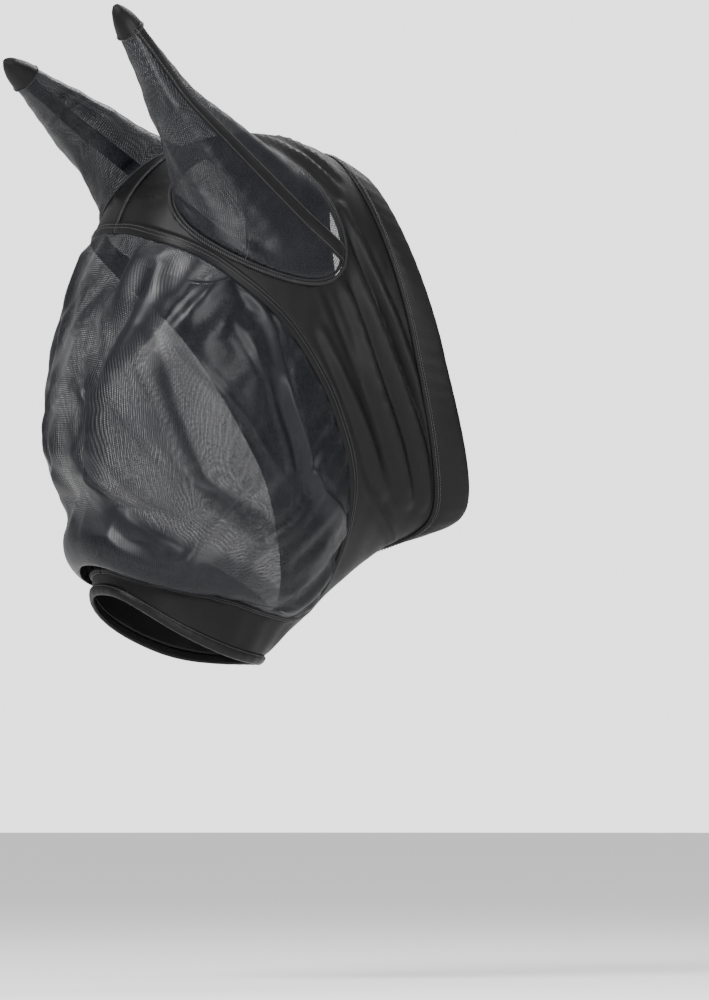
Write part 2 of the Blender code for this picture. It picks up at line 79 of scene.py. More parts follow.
EAR_LEAF = [(0, 0.0010, 0.0010), (0.004, 0.0045, 0.0042), (0.012, 0.0088, 0.0080), (0.030, 0.0140, 0.0120),
            (0.075, 0.0245, 0.0165), (0.120, 0.0345, 0.0240)]
EAR_BREADTH_TURN = math.radians(-50)
EAR_RING_TURN = math.radians(55)
STRIP_AT = math.radians(20)
TIP_LENGTH = 0.029
LEAF_LENGTH = 0.112
EARS = {"left": {"side": 1, "tip": (0.100, -0.241, 0.123), "neck": (0.086, -0.163, 0.020)},
        "right": {"side": -1, "tip": (-0.066, -0.268, 0.074), "neck": (-0.078, -0.170, 0.008)}}

# Cloth and seam sizes, as in part.py
LYCRA = 0.0012
EYE_HEM_WIDTH = 0.011
EYE_HEM_NARROW = 0.006
NECK_HEM_WIDTH = 0.034
NOSE_HEM_WIDTH = 0.009
STRIP_HALF = 0.0062

# The hems' height, where the eye hem's jaw corner falls on its way from brow to nose, the strip's half width
# at its foot, and how far behind the brow's edge the crown seam starts
HEM_HEIGHT = 0.0042
HEM_CORNER = 0.5625
STRIP_LOW = 0.0080
CROWN_START = 0.011

# Stitching
THREAD_RADIUS = 0.00034
STITCH_PITCH = 0.0031
STITCH_LENGTH = 0.0024
OVERLOCK_PITCH = 0.0021


def smooth_curve(knots, at):
    """Values at the positions `at` on a smooth curve through knots of (position, value, ...)."""
    table = np.array(knots, float)
    place, value = table[:, 0], table[:, 1:]
    slope = np.gradient(value, place, axis=0)
    at = np.clip(np.asarray(at, float), place[0], place[-1])
    i = np.clip(np.searchsorted(place, at, side="right") - 1, 0, len(place) - 2)
    span = (place[i + 1] - place[i])[..., None]
    u = (at - place[i])[..., None] / span
    ends = (2 * u**3 - 3 * u**2 + 1) * value[i] + (3 * u**2 - 2 * u**3) * value[i + 1]
    return ends + (u**3 - 2 * u**2 + u) * span * slope[i] + (u**3 - u**2) * span * slope[i + 1]


def form(t, phi):
    """Points of the head form."""
    t, phi = np.broadcast_arrays(np.asarray(t, float), np.asarray(phi, float))
    top, bottom = smooth_curve(FOREHEAD, t), smooth_curve(JAW, t)
    c, s = np.cos(phi), np.sin(phi)
    depth = np.sign(c) * np.abs(c) ** ROUND_DEEP
    yz = (top + bottom) / 2 + (top - bottom) / 2 * depth[..., None]
    lean = 1 + smooth_curve(TOP_LEAN, t)[..., 0] * c
    x = smooth_curve(HALF_WIDTH, t)[..., 0] * np.sign(s) * np.abs(s) ** ROUND_WIDE * lean
    drop = NOSE_DROP * s**2 * np.clip(1 - t / 0.6, 0, 1) ** 2
    tuck = 1 - np.exp(-((math.pi - np.abs(phi)) / JAW_TUCK) ** 2)
    rear = NECK_FULLNESS * np.abs(np.sin(phi / 2)) ** NECK_SHARE * tuck * np.clip(t, 0, 1) ** 3
    return np.stack([x, yz[..., 0] + rear - drop / 4, yz[..., 1] - drop], -1)


def unit(v):
    return v / np.maximum(np.linalg.norm(v, axis=-1, keepdims=True), 1e-12)


def slopes(t, phi, step=0.004):
    """How the form's points move with t and with phi."""
    t0, t1 = np.clip(t - step, 0, 1), np.clip(t + step, 0, 1)
    p0, p1 = np.clip(phi - step, 0.02, math.pi - 0.02), np.clip(phi + step, 0.02, math.pi - 0.02)
    p0, p1 = np.minimum(p0, math.pi - 0.02 - 2 * step), np.maximum(p1, 0.02 + 2 * step)
    along = (form(t1, phi) - form(t0, phi)) / (t1 - t0)[..., None]
    around = (form(t, p1) - form(t, p0)) / (p1 - p0)[..., None]
    return along, around


def normal(t, phi):
    """Outward normals of the form, on the horse's left half."""
    t, phi = np.broadcast_arrays(np.asarray(t, float), np.asarray(phi, float))
    along, around = slopes(t, phi)
    return unit(np.cross(around, along))


def lifted(t, phi, height):
    return form(t, phi) + normal(t, phi) * np.asarray(height)[..., None]


def step_sideways(path, distance):
    """Moves a path of (phi, t) across the form by a distance, to the left of its own direction."""
    phi, t = path[:, 0], path[:, 1]
    along, around = slopes(t, phi)
    course = unit(np.gradient(form(t, phi), axis=0))
    aside = np.cross(normal(t, phi), course) * np.asarray(distance).reshape(-1, 1)
    moved = path.copy()
    for k in range(len(path)):
        base = np.stack([around[k], along[k]], 1)
        moved[k] += np.linalg.lstsq(base, aside[k], rcond=None)[0]
    moved[:, 0] = np.clip(moved[:, 0], 0, math.pi)
    return moved


def run_of(points):
    """Distance along a line of points, from 0."""
    return np.concatenate([[0], np.cumsum(np.linalg.norm(np.diff(points, axis=0), axis=1))])


def opening_path(upper_rows, lower_rows):
    """The face opening's edge as (phi, t): brow to jaw corner, then jaw corner to nose."""
    knots = np.array([(math.radians(p), t) for p, t in FACE_OPENING])
    run = run_of(form(knots[:, 1], knots[:, 0]))
    upper = np.linspace(0, run[JAW_CORNER], upper_rows + 1)
    lower = np.linspace(run[JAW_CORNER], run[-1], lower_rows + 1)
    path = smooth_curve(np.column_stack([run, knots]), np.concatenate([upper, lower[1:]]))
    path[:, 0] = np.clip(path[:, 0], 0, math.pi)
    return path


def smooth_step(low, high, x):
    share = np.clip((x - low) / (high - low), 0, 1)
    return share * share * (3 - 2 * share)


def hem_widths(upper_rows, lower_rows):
    """The eye hem is wide on the hood side and narrow along the nose band."""
    upper, lower = np.linspace(0, HEM_CORNER, upper_rows + 1), np.linspace(HEM_CORNER, 1, lower_rows + 1)
    narrow = smooth_step(*HEM_NARROWS, np.concatenate([upper, lower[1:]]))
    return EYE_HEM_WIDTH + (EYE_HEM_NARROW - EYE_HEM_WIDTH) * narrow


def t_from_edge(phi, distance, edge):
    """The t that lies a distance in from the neck edge (edge 1) or the nose edge (edge 0)."""
    t = np.linspace(edge, 0.5, 101)
    found = []
    for p, d in zip(*np.broadcast_arrays(np.atleast_1d(phi), distance)):
        found.append(np.interp(d, run_of(form(t, np.full_like(t, p))), t))
    return np.array(found)


def phi_along(edge, share):
    """The phi at shares of the neck or nose edge's length, from the forehead side to the jaw side."""
    fine = np.linspace(0, math.pi, 361)
    run = run_of(form(np.full_like(fine, edge), fine))
    return np.interp(np.asarray(share) * run[-1], run, fine)


def ruled(first, last, share):
    """Grid of (phi, t) with straight rows from each point of first to the matching point of last."""
    share = np.asarray(share)[None, :, None]
    return first[:, None, :] * (1 - share) + last[:, None, :] * share


def weave_place(t, phi):
    """Where a point of the form lies on the uncurled cloth, in metres: (round the head, along the head)."""
    steps = np.linspace(0, 1, 25)
    line = form(np.asarray(t)[..., None], np.asarray(phi)[..., None] * steps)
    round_head = np.linalg.norm(np.diff(line, axis=-2), axis=-1).sum(-1)
    fine = np.linspace(0, 1, 201)
    along_head = np.interp(t, fine, run_of(form(fine, np.full_like(fine, 1.0))))
    return np.stack([round_head, along_head], -1)


# ---- Meshes ----
def linked(name, data):
    """A new object in the scene for a mesh, a light or a camera."""
    made = bpy.data.objects.new(name, data)
    bpy.context.scene.collection.objects.link(made)
    return made


def add_piece(name, verts, faces, uvs, finish):
    """A mesh piece with one UV place, in metres, for each vertex."""
    mesh = bpy.data.meshes.new(name)
    mesh.from_pydata([tuple(v) for v in verts], [], faces)
    layer = mesh.uv_layers.new(name="cloth_metres")
    corner = np.zeros(len(mesh.loops), np.int32)
    mesh.loops.foreach_get("vertex_index", corner)
    layer.data.foreach_set("uv", np.asarray(uvs, np.float32)[corner].ravel())
    mesh.materials.append(finish)
    mesh.shade_smooth()
    mesh.update()
    return linked(name, mesh)


def mark_folded(piece, layers):
    """Keeps how many extra layers of cloth lie at each vertex, for the mesh finish."""
    mark = piece.data.attributes.new("folded", "FLOAT", "POINT")
    mark.data.foreach_set("value", np.asarray(layers, np.float32).ravel())


def grid_faces(rows, columns, ring=False):
    i, j = np.meshgrid(np.arange(rows if ring else rows - 1), np.arange(columns - 1), indexing="ij")
    here, after = i * columns + j, (i + 1) % rows * columns + j
    return np.stack([here, here + 1, after + 1, after], -1).reshape(-1, 4)


def outward(verts, faces, inside):
    """The same faces, turned if need be so that they face away from the point `inside`."""
    corner = verts[faces]
    turn = np.cross(corner[:, 2] - corner[:, 0], corner[:, 3] - corner[:, 1])
    if (turn * (corner.mean(1) - inside)).sum() < 0:
        return faces[:, ::-1]
    return faces


def cloth(name, points, uvs, finish, inside, ring=False):
    """A single sheet of cloth through a grid of points."""
    verts = points.reshape(-1, 3)
    faces = outward(verts, grid_faces(points.shape[0], points.shape[1], ring), np.asarray(inside))
    return add_piece(name, verts, faces.tolist(), uvs.reshape(-1, 2), finish)


def baked(piece):
    """Applies the piece's modifiers."""
    graph = bpy.context.evaluated_depsgraph_get()
    made = bpy.data.meshes.new_from_object(piece.evaluated_get(graph), depsgraph=graph)
    piece.modifiers.clear()
    old = piece.data
    piece.data = made
    bpy.data.meshes.remove(old)
    return piece


def thicken(piece, thickness):
    shell = piece.modifiers.new("thickness", "SOLIDIFY")
    shell.thickness = thickness
    shell.offset = 1
    return baked(piece)


def loft(name, sections, finish, closed=False, along=None):
    """A solid skin over closed cross-sections, given as (sections, points round, 3)."""
    count, sides = sections.shape[:2]
    verts = sections.reshape(-1, 3)
    faces = []
    for i in range(count if closed else count - 1):
        for j in range(sides):
            k, n = (j + 1) % sides, (i + 1) % count
            faces.append((i * sides + j, i * sides + k, n * sides + k, n * sides + j))
    faces = np.array(faces)
    volume = np.einsum("ij,ij->i", verts[faces[:, 0]] - verts.mean(0),
                       np.cross(verts[faces[:, 1]] - verts.mean(0), verts[faces[:, 2]] - verts.mean(0))).sum()
    if volume < 0:
        faces = faces[:, ::-1]
    faces = faces.tolist()
    if not closed:
        first, last = list(range(sides)), [(count - 1) * sides + j for j in range(sides)]
        faces += [first, last[::-1]] if volume < 0 else [first[::-1], last]
    run = run_of(sections.mean(1)) if along is None else along
    girth = run_of(np.concatenate([sections[0], sections[0][:1]]))[:-1]
    uvs = np.stack(np.broadcast_arrays(girth[None, :], run[:, None]), -1)
    return add_piece(name, verts, faces, uvs.reshape(-1, 2), finish)


def threads(name, starts, ends, ups, finish, radius=THREAD_RADIUS, bow=0.6):
    """Many short stitches, each a bead of thread from a start to an end."""
    shares = np.array([0, 0.12, 0.5, 0.88, 1])
    swell = np.array([0.35, 0.85, 1, 0.85, 0.35])
    angle = np.linspace(0, 2 * math.pi, 7)[:-1]
    course = unit(ends - starts)
    side = unit(np.cross(course, ups))
    rise = np.cross(side, course)
    centre = starts[:, None] + (ends - starts)[:, None] * shares[None, :, None]
    centre = centre + rise[:, None] * (4 * bow * radius * shares * (1 - shares))[None, :, None]
    off = (np.cos(angle)[None, None, :, None] * side[:, None, None] +
           np.sin(angle)[None, None, :, None] * rise[:, None, None])
    verts = centre[:, :, None] + off * (radius * swell)[None, :, None, None]
    rings, sides = len(shares), len(angle)
    faces = []
    for i in range(rings - 1):
        for j in range(sides):
            k = (j + 1) % sides
            faces.append((i * sides + j, i * sides + k, (i + 1) * sides + k, (i + 1) * sides + j))
    caps = [list(range(sides))[::-1], [(rings - 1) * sides + j for j in range(sides)]]
    one = [list(f) for f in faces] + caps
    each = rings * sides
    every = [[v + n * each for v in f] for n in range(len(starts)) for f in one]
    uvs = np.zeros((len(starts) * each, 2))
    uvs[:, 0] = np.tile(np.repeat(shares * STITCH_LENGTH, sides), len(starts))
    uvs[:, 1] = np.tile(np.tile(angle * radius, rings), len(starts))
    return add_piece(name, verts.reshape(-1, 3), every, uvs, finish)


def stitch_row(path, ups, pitch, length, slant=0.0, across=None):
    """Starts, ends and ups of a row of stitches along a line of points."""
    run = run_of(path)
    count = max(int(run[-1] / pitch), 1)
    at = (np.arange(count) + 0.5) * run[-1] / count

    def read(values, where):
        return np.stack([np.interp(where, run, values[:, k]) for k in range(3)], -1)

    starts, ends = read(path, at - length / 2), read(path, at + length / 2)
    up = unit(read(ups, at))
    if across is not None:
        aside = read(across, at) * slant
        starts, ends = starts - aside, ends + aside
    return starts, ends, up


def joined(rows):
    return [np.concatenate(group) for group in zip(*rows)]


def mirrored(points):
    return points * np.array([-1, 1, 1])


# ---- Folds: soft ridges and grooves pressed into a cloth along given lines ----
# How far a fold may move the cloth for its layers, and the movement that lays one more layer down
FOLD_MOVE_MOST = 0.012
FOLD_MOVE_PER_LAYER = 0.0036


def press_folds(points, out, folds, place):
    """How far folds move each point, along `out` and sideways, and how much cloth they lay over itself. A
    fold is (height, half width, sharpness, lean, line): a lean moves its crest to the left of the line."""
    shift = np.zeros(points.shape)
    layers = np.zeros(points.shape[:-1])
    for height, width, sharp, lean, line in folds:
        knots = np.array(line, float)
        table = np.column_stack([run_of(place(knots)), knots])
        spots = place(smooth_curve(table, np.linspace(0, table[-1, 0], 70)))
        course = unit(np.gradient(spots, axis=0))
        gap = np.linalg.norm(points[..., None, :] - spots, axis=-1)
        near = gap.argmin(-1)
        distance = gap.min(-1) / width
        taper = np.sin(math.pi * np.linspace(0.06, 0.94, len(spots)))[near] ** 0.6
        soft = np.exp(-distance**2)
        crease = np.exp(-(np.sqrt(distance**2 + 0.02) - 0.14) * 1.6)
        hollow = 0.38 * np.exp(-((distance - 1.7) / 0.8) ** 2)
        aside = unit(np.cross(out, course[near]))
        shift += out * (height * taper * (crease * sharp + soft * (1 - sharp) - hollow))[..., None]
        shift += aside * (lean * taper * soft)[..., None]
        extra = min(abs(height) / 2 + abs(lean), FOLD_MOVE_MOST) / FOLD_MOVE_PER_LAYER
        layers += extra * taper * np.exp(-(distance * 1.25) ** 2)
    return shift, layers


def ripple(points, amount, waves):
    """Small uneven waves, the same each time, from a few sines in different directions."""
    total = np.zeros(points.shape[:-1])
    for direction, length, shift in waves:
        total += np.sin(2 * math.pi * (points @ unit(np.array(direction, float))) / length + shift)
    return amount * total / len(waves)


# ---- Materials ----
# Distances between threads, round the head and along it, and between the twists of a thread
KNIT_PITCH = (0.0011, 0.0016)
MESH_PITCH = (0.0019, 0.0015)
TWIST_PITCH = 0.0006


class Nodes:
    """Short calls for building a node material."""

    def __init__(self, name):
        self.material = bpy.data.materials.new(name)
        self.material.use_nodes = True
        self.tree = self.material.node_tree
        self.shader = self.tree.nodes["Principled BSDF"]

    def add(self, kind, **settings):
        node = self.tree.nodes.new(kind)
        for key, value in settings.items():
            setattr(node, key, value)
        return node

    def link(self, source, target):
        self.tree.links.new(source, target)

    def math(self, operation, first, second=None):
        node = self.add("ShaderNodeMath", operation=operation)
        for socket, value in zip(node.inputs, (first, second)):
            if isinstance(value, bpy.types.NodeSocket):
                self.link(value, socket)
            elif value is not None:
                socket.default_value = value
        return node.outputs[0]

    def mix(self, first, share, second, other):
        """The sum of two values, each times its share."""
        return self.math("ADD", self.math("MULTIPLY", first, share), self.math("MULTIPLY", second, other))

    def spread(self, value, low, high, to_low, to_high):
        node = self.add("ShaderNodeMapRange", interpolation_type="SMOOTHSTEP")
        self.link(value, node.inputs["Value"])
        for key, number in zip(("From Min", "From Max", "To Min", "To Max"), (low, high, to_low, to_high)):
            node.inputs[key].default_value = number
        return node.outputs["Result"]

    def noise(self, scale, detail=3.0, space="object"):
        node = self.add("ShaderNodeTexNoise")
        node.inputs["Scale"].default_value = scale
        node.inputs["Detail"].default_value = detail
        self.link(self.coordinates(space), node.inputs["Vector"])
        return node.outputs["Fac"]

    def coordinates(self, space):
        if space == "cloth":
            return self.add("ShaderNodeUVMap", uv_map="cloth_metres").outputs["UV"]
        return self.add("ShaderNodeTexCoord").outputs["Object"]

    def thread(self, axis, pitch):
        """A rounded profile across threads that run at a pitch: 0 between threads, 1 on their crests."""
        split = self.add("ShaderNodeSeparateXYZ")
        self.link(self.coordinates("cloth"), split.inputs[0])
        saw = self.math("FRACT", self.math("MULTIPLY", split.outputs[axis], 1 / pitch))
        return self.math("SINE", self.math("MULTIPLY", saw, math.pi))

    def colour(self, amount, dark, light):
        ramp = self.add("ShaderNodeValToRGB")
        ramp.color_ramp.elements[0].color = (*dark, 1)
        ramp.color_ramp.elements[1].color = (*light, 1)
        self.link(amount, ramp.inputs["Fac"])
        self.link(ramp.outputs["Color"], self.shader.inputs["Base Color"])

    def bump(self, height, strength, distance):
        node = self.add("ShaderNodeBump")
        node.inputs["Strength"].default_value = strength
        node.inputs["Distance"].default_value = distance
        self.link(height, node.inputs["Height"])
        self.link(node.outputs["Normal"], self.shader.inputs["Normal"])

    def set(self, values):
        for key, value in values.items():
            self.shader.inputs[key].default_value = value


def lycra_finish():
    """Black stretch knit: fine ribs, a soft sheen and slightly uneven dye; its colour is also painted darker
    in the grooves between the ribs, as painted shade.
    """
    n = Nodes("black_lycra_knit")
    rib, course = (n.thread(axis, pitch) for axis, pitch in enumerate(KNIT_PITCH))
    knit = n.math("MULTIPLY", rib, n.math("ADD", n.math("MULTIPLY", course, 0.45), 0.55))
    cloudy, lint = n.noise(14, 4), n.noise(900, 2)
    # The colour mixes uneven dye and lint, the cloth's own tone, with the ribs, painted darker between them
    # as painted shade.
    shade = n.mix(cloudy, 0.55, knit, 0.35)
    n.colour(n.math("ADD", shade, n.math("MULTIPLY", lint, 0.15)), (0.0018, 0.0018, 0.0020),
             (0.0080, 0.0077, 0.0084))
    n.link(n.spread(cloudy, 0.3, 0.7, 0.34, 0.48), n.shader.inputs["Roughness"])
    n.bump(n.math("ADD", knit, n.math("MULTIPLY", lint, 0.4)), 0.50, 0.00020)
    n.set({"Sheen Weight": 0.01, "Sheen Roughness": 0.30, "Specular IOR Level": 0.15})
    return n.material


def mesh_finish(name, cover):
    """See-through charcoal mesh. It is denser to look through where it is folded, as `folded` says."""
    n = Nodes(name)
    warp, weft = (n.thread(axis, pitch) for axis, pitch in enumerate(MESH_PITCH))
    weave = n.math("MAXIMUM", warp, weft)
    both = n.mix(warp, 0.5, weft, 0.5)
    cloudy, grain = n.noise(22, 5), n.noise(380, 2)
    folded = n.add("ShaderNodeAttribute", attribute_name="folded").outputs["Fac"]
    solid = n.spread(weave, 0.50, 0.98, cover - 0.24, min(cover + 0.17, 0.98))
    uneven = n.mix(grain, 0.20, cloudy, 0.14)
    single = n.math("ADD", solid, n.math("SUBTRACT", uneven, 0.17))
    gaps = n.math("SUBTRACT", 1.0, n.math("MINIMUM", single, 0.99))
    open_share = n.math("POWER", gaps, n.math("ADD", folded, 1.0))
    n.link(n.math("SUBTRACT", 1.0, open_share), n.shader.inputs["Alpha"])
    n.colour(n.mix(cloudy, 0.5, grain, 0.5), (0.0020, 0.0021, 0.0028), (0.0125, 0.0132, 0.0165))
    n.link(n.spread(cloudy, 0.3, 0.7, 0.26, 0.40), n.shader.inputs["Roughness"])
    n.bump(both, 0.45, 0.00026)
    n.set({"Sheen Weight": 0.01, "Sheen Roughness": 0.28, "Specular IOR Level": 0.20})
    n.shader.inputs["Sheen Tint"].default_value = (0.86, 0.89, 1.0, 1)
    return n.material


def thread_finish():
    """Black polyester thread, twisted, with a dull shine; its colour is painted lighter on the twist's
    crests, as painted highlight, and darker between them, as painted shade.
    """
    n = Nodes("black_twisted_thread")
    twist = n.thread(0, TWIST_PITCH)
    fuzz = n.noise(1500, 2)
    # Colour: painted highlight on the twist's crests and painted shade between them, plus random fuzz in the
    # thread's own tone.
    n.colour(n.mix(twist, 0.6, fuzz, 0.4), (0.010, 0.010, 0.011), (0.060, 0.060, 0.064))
    n.link(n.spread(fuzz, 0.3, 0.7, 0.36, 0.52), n.shader.inputs["Roughness"])
    n.bump(n.math("ADD", twist, fuzz), 0.5, 0.00012)
    n.set({"Sheen Weight": 0.06, "Sheen Roughness": 0.4, "Specular IOR Level": 0.40})
    return n.material


def elastic_finish():
    """Flat woven elastic, ribbed across, read from the object's own coordinates; its colour is painted darker
    between the ribs, as painted shade.
    """
    n = Nodes("black_ribbed_elastic")
    wave = n.add("ShaderNodeTexWave", wave_type="BANDS", bands_direction="DIAGONAL")
    wave.inputs["Scale"].default_value = 260
    wave.inputs["Distortion"].default_value = 0.6
    n.link(n.coordinates("object"), wave.inputs["Vector"])
    fuzz = n.noise(700, 3)
    # Colour: painted shade between the ribs, plus random fuzz in the elastic's own tone.
    n.colour(n.mix(wave.outputs["Fac"], 0.6, fuzz, 0.4), (0.008, 0.008, 0.009), (0.034, 0.034, 0.037))
    n.link(n.spread(fuzz, 0.3, 0.7, 0.55, 0.75), n.shader.inputs["Roughness"])
    n.bump(wave.outputs["Fac"], 0.5, 0.0003)
    n.set({"Sheen Weight": 0.05, "Sheen Roughness": 0.5})
    return n.material


# ---- Face mesh ----
FACE_INSIDE = (0, -0.06, -0.25)
MESH_ROWS = 66
MESH_DOWN = 84
# How far the mesh's edge is tucked under the hem it is sewn to
SEAM_TUCK = 0.0026
# The simulation: its length, how much longer the cloth is than its place, and how far a point may move
DRAPE_FRAMES = 26
DRAPE_SLACK = 0.05
DRAPE_MOVE_MOST = 0.012
# Folds of the left side, as (height, half width, sharpness, lean, line of (share from the middle of the face
# to the jaw corner, share from the brow to the nose band))
MESH_FOLDS = [
    (0.0060, 0.0085, 0.4, -0.0100, [(0.15, 0.01), (0.16, 0.10), (0.15, 0.22), (0.12, 0.34), (0.10, 0.44)]),
    (0.0040, 0.0060, 0.4, 0.0070, [(0.21, 0.01), (0.19, 0.10), (0.17, 0.20), (0.13, 0.34)]),
    (0.0050, 0.0120, 0.3, -0.0110, [(0.10, 0.00), (0.11, 0.08), (0.10, 0.16), (0.08, 0.24)]),
    (0.0050, 0.0060, 0.6, -0.0060, [(0.27, 0.01), (0.255, 0.07), (0.24, 0.14), (0.22, 0.21)]),
    (0.0034, 0.0040, 0.9, 0.0, [(0.20, 0.21), (0.25, 0.28), (0.30, 0.31), (0.38, 0.35), (0.49, 0.39),
                                (0.58, 0.42)]),
    (0.0030, 0.0040, 0.9, 0.0, [(0.32, 0.12), (0.41, 0.20), (0.49, 0.27), (0.55, 0.35), (0.58, 0.42)]),
    (0.0050, 0.0060, 0.5, 0.0080, [(0.31, 0.01), (0.38, 0.07), (0.47, 0.17), (0.56, 0.26), (0.67, 0.33),
                                   (0.82, 0.22)]),
    (0.0070, 0.0080, 0.5, 0.0100, [(0.01, 0.55), (0.03, 0.68), (0.09, 0.78), (0.18, 0.82), (0.27, 0.85),
                                   (0.35, 0.86)]),
    (0.0034, 0.0045, 0.9, 0.0, [(0.19, 0.42), (0.24, 0.54), (0.33, 0.62), (0.43, 0.60)]),
    (0.0034, 0.0040, 0.9, 0.0, [(0.33, 0.88), (0.38, 0.75), (0.43, 0.60), (0.48, 0.50)]),
    (0.0034, 0.0040, 0.9, 0.0, [(0.45, 0.10), (0.50, 0.20), (0.58, 0.30), (0.60, 0.42)]),
    (0.0045, 0.0060, 0.6, 0.0060, [(0.62, 0.32), (0.73, 0.25), (0.83, 0.10), (0.87, 0.02)]),
    (0.0060, 0.0085, 0.4, -0.0105, [(0.05, 0.36), (0.085, 0.46), (0.10, 0.56), (0.085, 0.68), (0.05, 0.76)]),
    (0.0045, 0.0060, 0.5, 0.0070, [(0.01, 0.42), (0.05, 0.50), (0.04, 0.58), (0.01, 0.64)]),
    (0.0040, 0.0070, 0.4, 0.0, [(0.02, 0.14), (0.06, 0.26), (0.08, 0.36), (0.03, 0.48)]),
    (0.0036, 0.0050, 0.7, 0.0, [(0.10, 0.60), (0.16, 0.68), (0.22, 0.72), (0.30, 0.73)]),
    (0.0040, 0.0080, 0.3, 0.0, [(0.52, 0.95), (0.55, 0.75), (0.60, 0.60)]),
]
# The roll of slack cloth above the nose band: its size at shares across the face, and its path as (share of
# the way down the roll, share up from the seam, height off the face)
ROLL_ACROSS = [(0, 0.80), (0.10, 0.86), (0.24, 1.0), (0.42, 0.95), (0.62, 0.62), (0.80, 0.10), (1, 0)]
ROLL_FROM = 0.76
ROLL_LAYERS = 1.6
ROLL_UP = 0.14
ROLL_PATH = [(0, 1.6, 0.0030), (0.22, 1.0, 0.0105), (0.42, 0.30, 0.0125), (0.52, 0.02, 0.0100),
             (0.60, 0.18, 0.0062), (0.72, 0.80, 0.0058), (0.79, 0.98, 0.0040), (0.87, 0.72, 0.0022),
             (1, 0, 0)]


def mesh_place(across, down):
    """(phi, t) of the face mesh at shares across and down."""
    opening = opening_path(MESH_ROWS, MESH_ROWS)
    inner = step_sideways(opening, SEAM_TUCK)
    run = np.linspace(0, 1, MESH_ROWS + 1)
    upper, lower = inner[:MESH_ROWS + 1], inner[MESH_ROWS:][::-1]
    read = [[np.interp(across, run, side[:, k]) for k in (0, 1)] for side in (upper, lower)]
    return tuple(first * (1 - down) + last * down for first, last in zip(*read))


def mesh_height(across, down):
    """How far the pouch stands off the face."""
    middle = smooth_curve(MESH_RISE, down)[..., 0]
    side = MESH_SIDE_RISE * np.sin(math.pi * down)
    weight = np.clip(across / MESH_SIDE_FROM, 0, 1) ** MESH_SIDE_POWER
    ease = np.clip((1 - across) / MESH_CORNER_EASE, 0, 1)
    return (middle * (1 - weight) + side * weight) * ease


def mesh_spot(place):
    """Points of the pouch at (across, down)."""
    phi, t = mesh_place(place[..., 0], place[..., 1])
    return lifted(t, phi, mesh_height(place[..., 0], place[..., 1]))


def mesh_half(folds, strength):
    """One half of the pouch with its folds and the roll above the nose band."""
    across = np.linspace(0, CORNER_TRIM, MESH_ROWS + 1)[:, None]
    step = np.linspace(0, 1, MESH_DOWN + 1)[None, :]
    across, step = np.broadcast_arrays(across, step)
    in_roll = np.clip((step - ROLL_FROM) / (1 - ROLL_FROM), 0, 1)
    size = smooth_curve(ROLL_ACROSS, across)[..., 0]
    path = smooth_curve(ROLL_PATH, in_roll)
    top = 1 - ROLL_UP * ROLL_PATH[0][1]
    plain = np.where(step < ROLL_FROM, step / ROLL_FROM * top, top + (1 - top) * in_roll)
    rolled = np.where(step < ROLL_FROM, plain, 1 - ROLL_UP * path[..., 0])
    down = plain * (1 - size) + rolled * size
    phi, t = mesh_place(across, down)
    base = mesh_height(across, down)
    points = lifted(t, phi, base)
    out = normal(t, phi)
    extra = np.where(in_roll > 0, path[..., 1], ROLL_PATH[0][2] * smooth_step(0.45, 1, step / ROLL_FROM))
    ride_on = np.where(in_roll > 0, 1 - smooth_step(0.5, 1.0, in_roll) * size, 1)
    height = base * ride_on - base + extra * size
    edge = np.minimum(smooth_step(0, 0.05, step), smooth_step(0, 0.06, 1 - across / CORNER_TRIM * 0.999))
    edge = np.minimum(edge, 1 - smooth_step(0.90, 1.0, step))
    shift, layers = press_folds(points, out, folds, mesh_spot)
    waves = ripple(points, 0.0010, [((1, 0.3, 0.6), 0.043, 0.4), ((0.4, 1, -0.5), 0.031, 1.9),
                                    ((-0.5, 0.6, 1), 0.057, 3.1), ((0.2, -0.8, 0.9), 0.022, 0.9)])
    calm = edge * np.where(in_roll > 0, 0.35, 1)
    points = points + out * (height + waves * calm)[..., None] + shift * (strength * calm)[..., None]
    layers = layers * edge + ROLL_LAYERS * size * smooth_step(0.02, 0.2, in_roll)
    return points, weave_place(t, phi), layers * strength


def drape(piece, held, frames, slack):
    """Lets the cloth settle: a light pull down, a little slack, and the seam held where it is sewn."""
    group = piece.vertex_groups.new(name="sewn")
    group.add([int(v) for v in held], 1.0, "REPLACE")
    sim = piece.modifiers.new("drape", "CLOTH")
    settings = sim.settings
    settings.quality = 5
    settings.mass = 0.06
    settings.tension_stiffness = 12
    settings.compression_stiffness = 10
    settings.shear_stiffness = 4
    settings.bending_stiffness = 0.03
    settings.tension_damping = 8
    settings.compression_damping = 8
    settings.shear_damping = 8
    settings.air_damping = 3
    settings.vertex_group_mass = group.name
    settings.shrink_min = -slack
    settings.effector_weights.gravity = 0.12
    sim.point_cache.frame_start = 1
    sim.point_cache.frame_end = frames
    scene = bpy.context.scene
    for number in range(1, frames + 1):
        scene.frame_set(number)
    graph = bpy.context.evaluated_depsgraph_get()
    settled = piece.evaluated_get(graph).to_mesh()
    place = np.zeros(len(settled.vertices) * 3)
    settled.vertices.foreach_get("co", place)
    piece.modifiers.clear()
    piece.vertex_groups.clear()
    scene.frame_set(1)
    return place.reshape(-1, 3)


def settle(piece, held, frames, slack, cap):
    """Drapes a piece, and lets no point move further than `cap`."""
    before = np.zeros(len(piece.data.vertices) * 3)
    piece.data.vertices.foreach_get("co", before)
    before = before.reshape(-1, 3)
    moved = drape(piece, held, frames, slack) - before
    length = np.linalg.norm(moved, axis=1, keepdims=True)
    moved *= cap / np.maximum(cap + length, 1e-9)
    piece.data.vertices.foreach_set("co", (before + moved).ravel())
    piece.data.update()


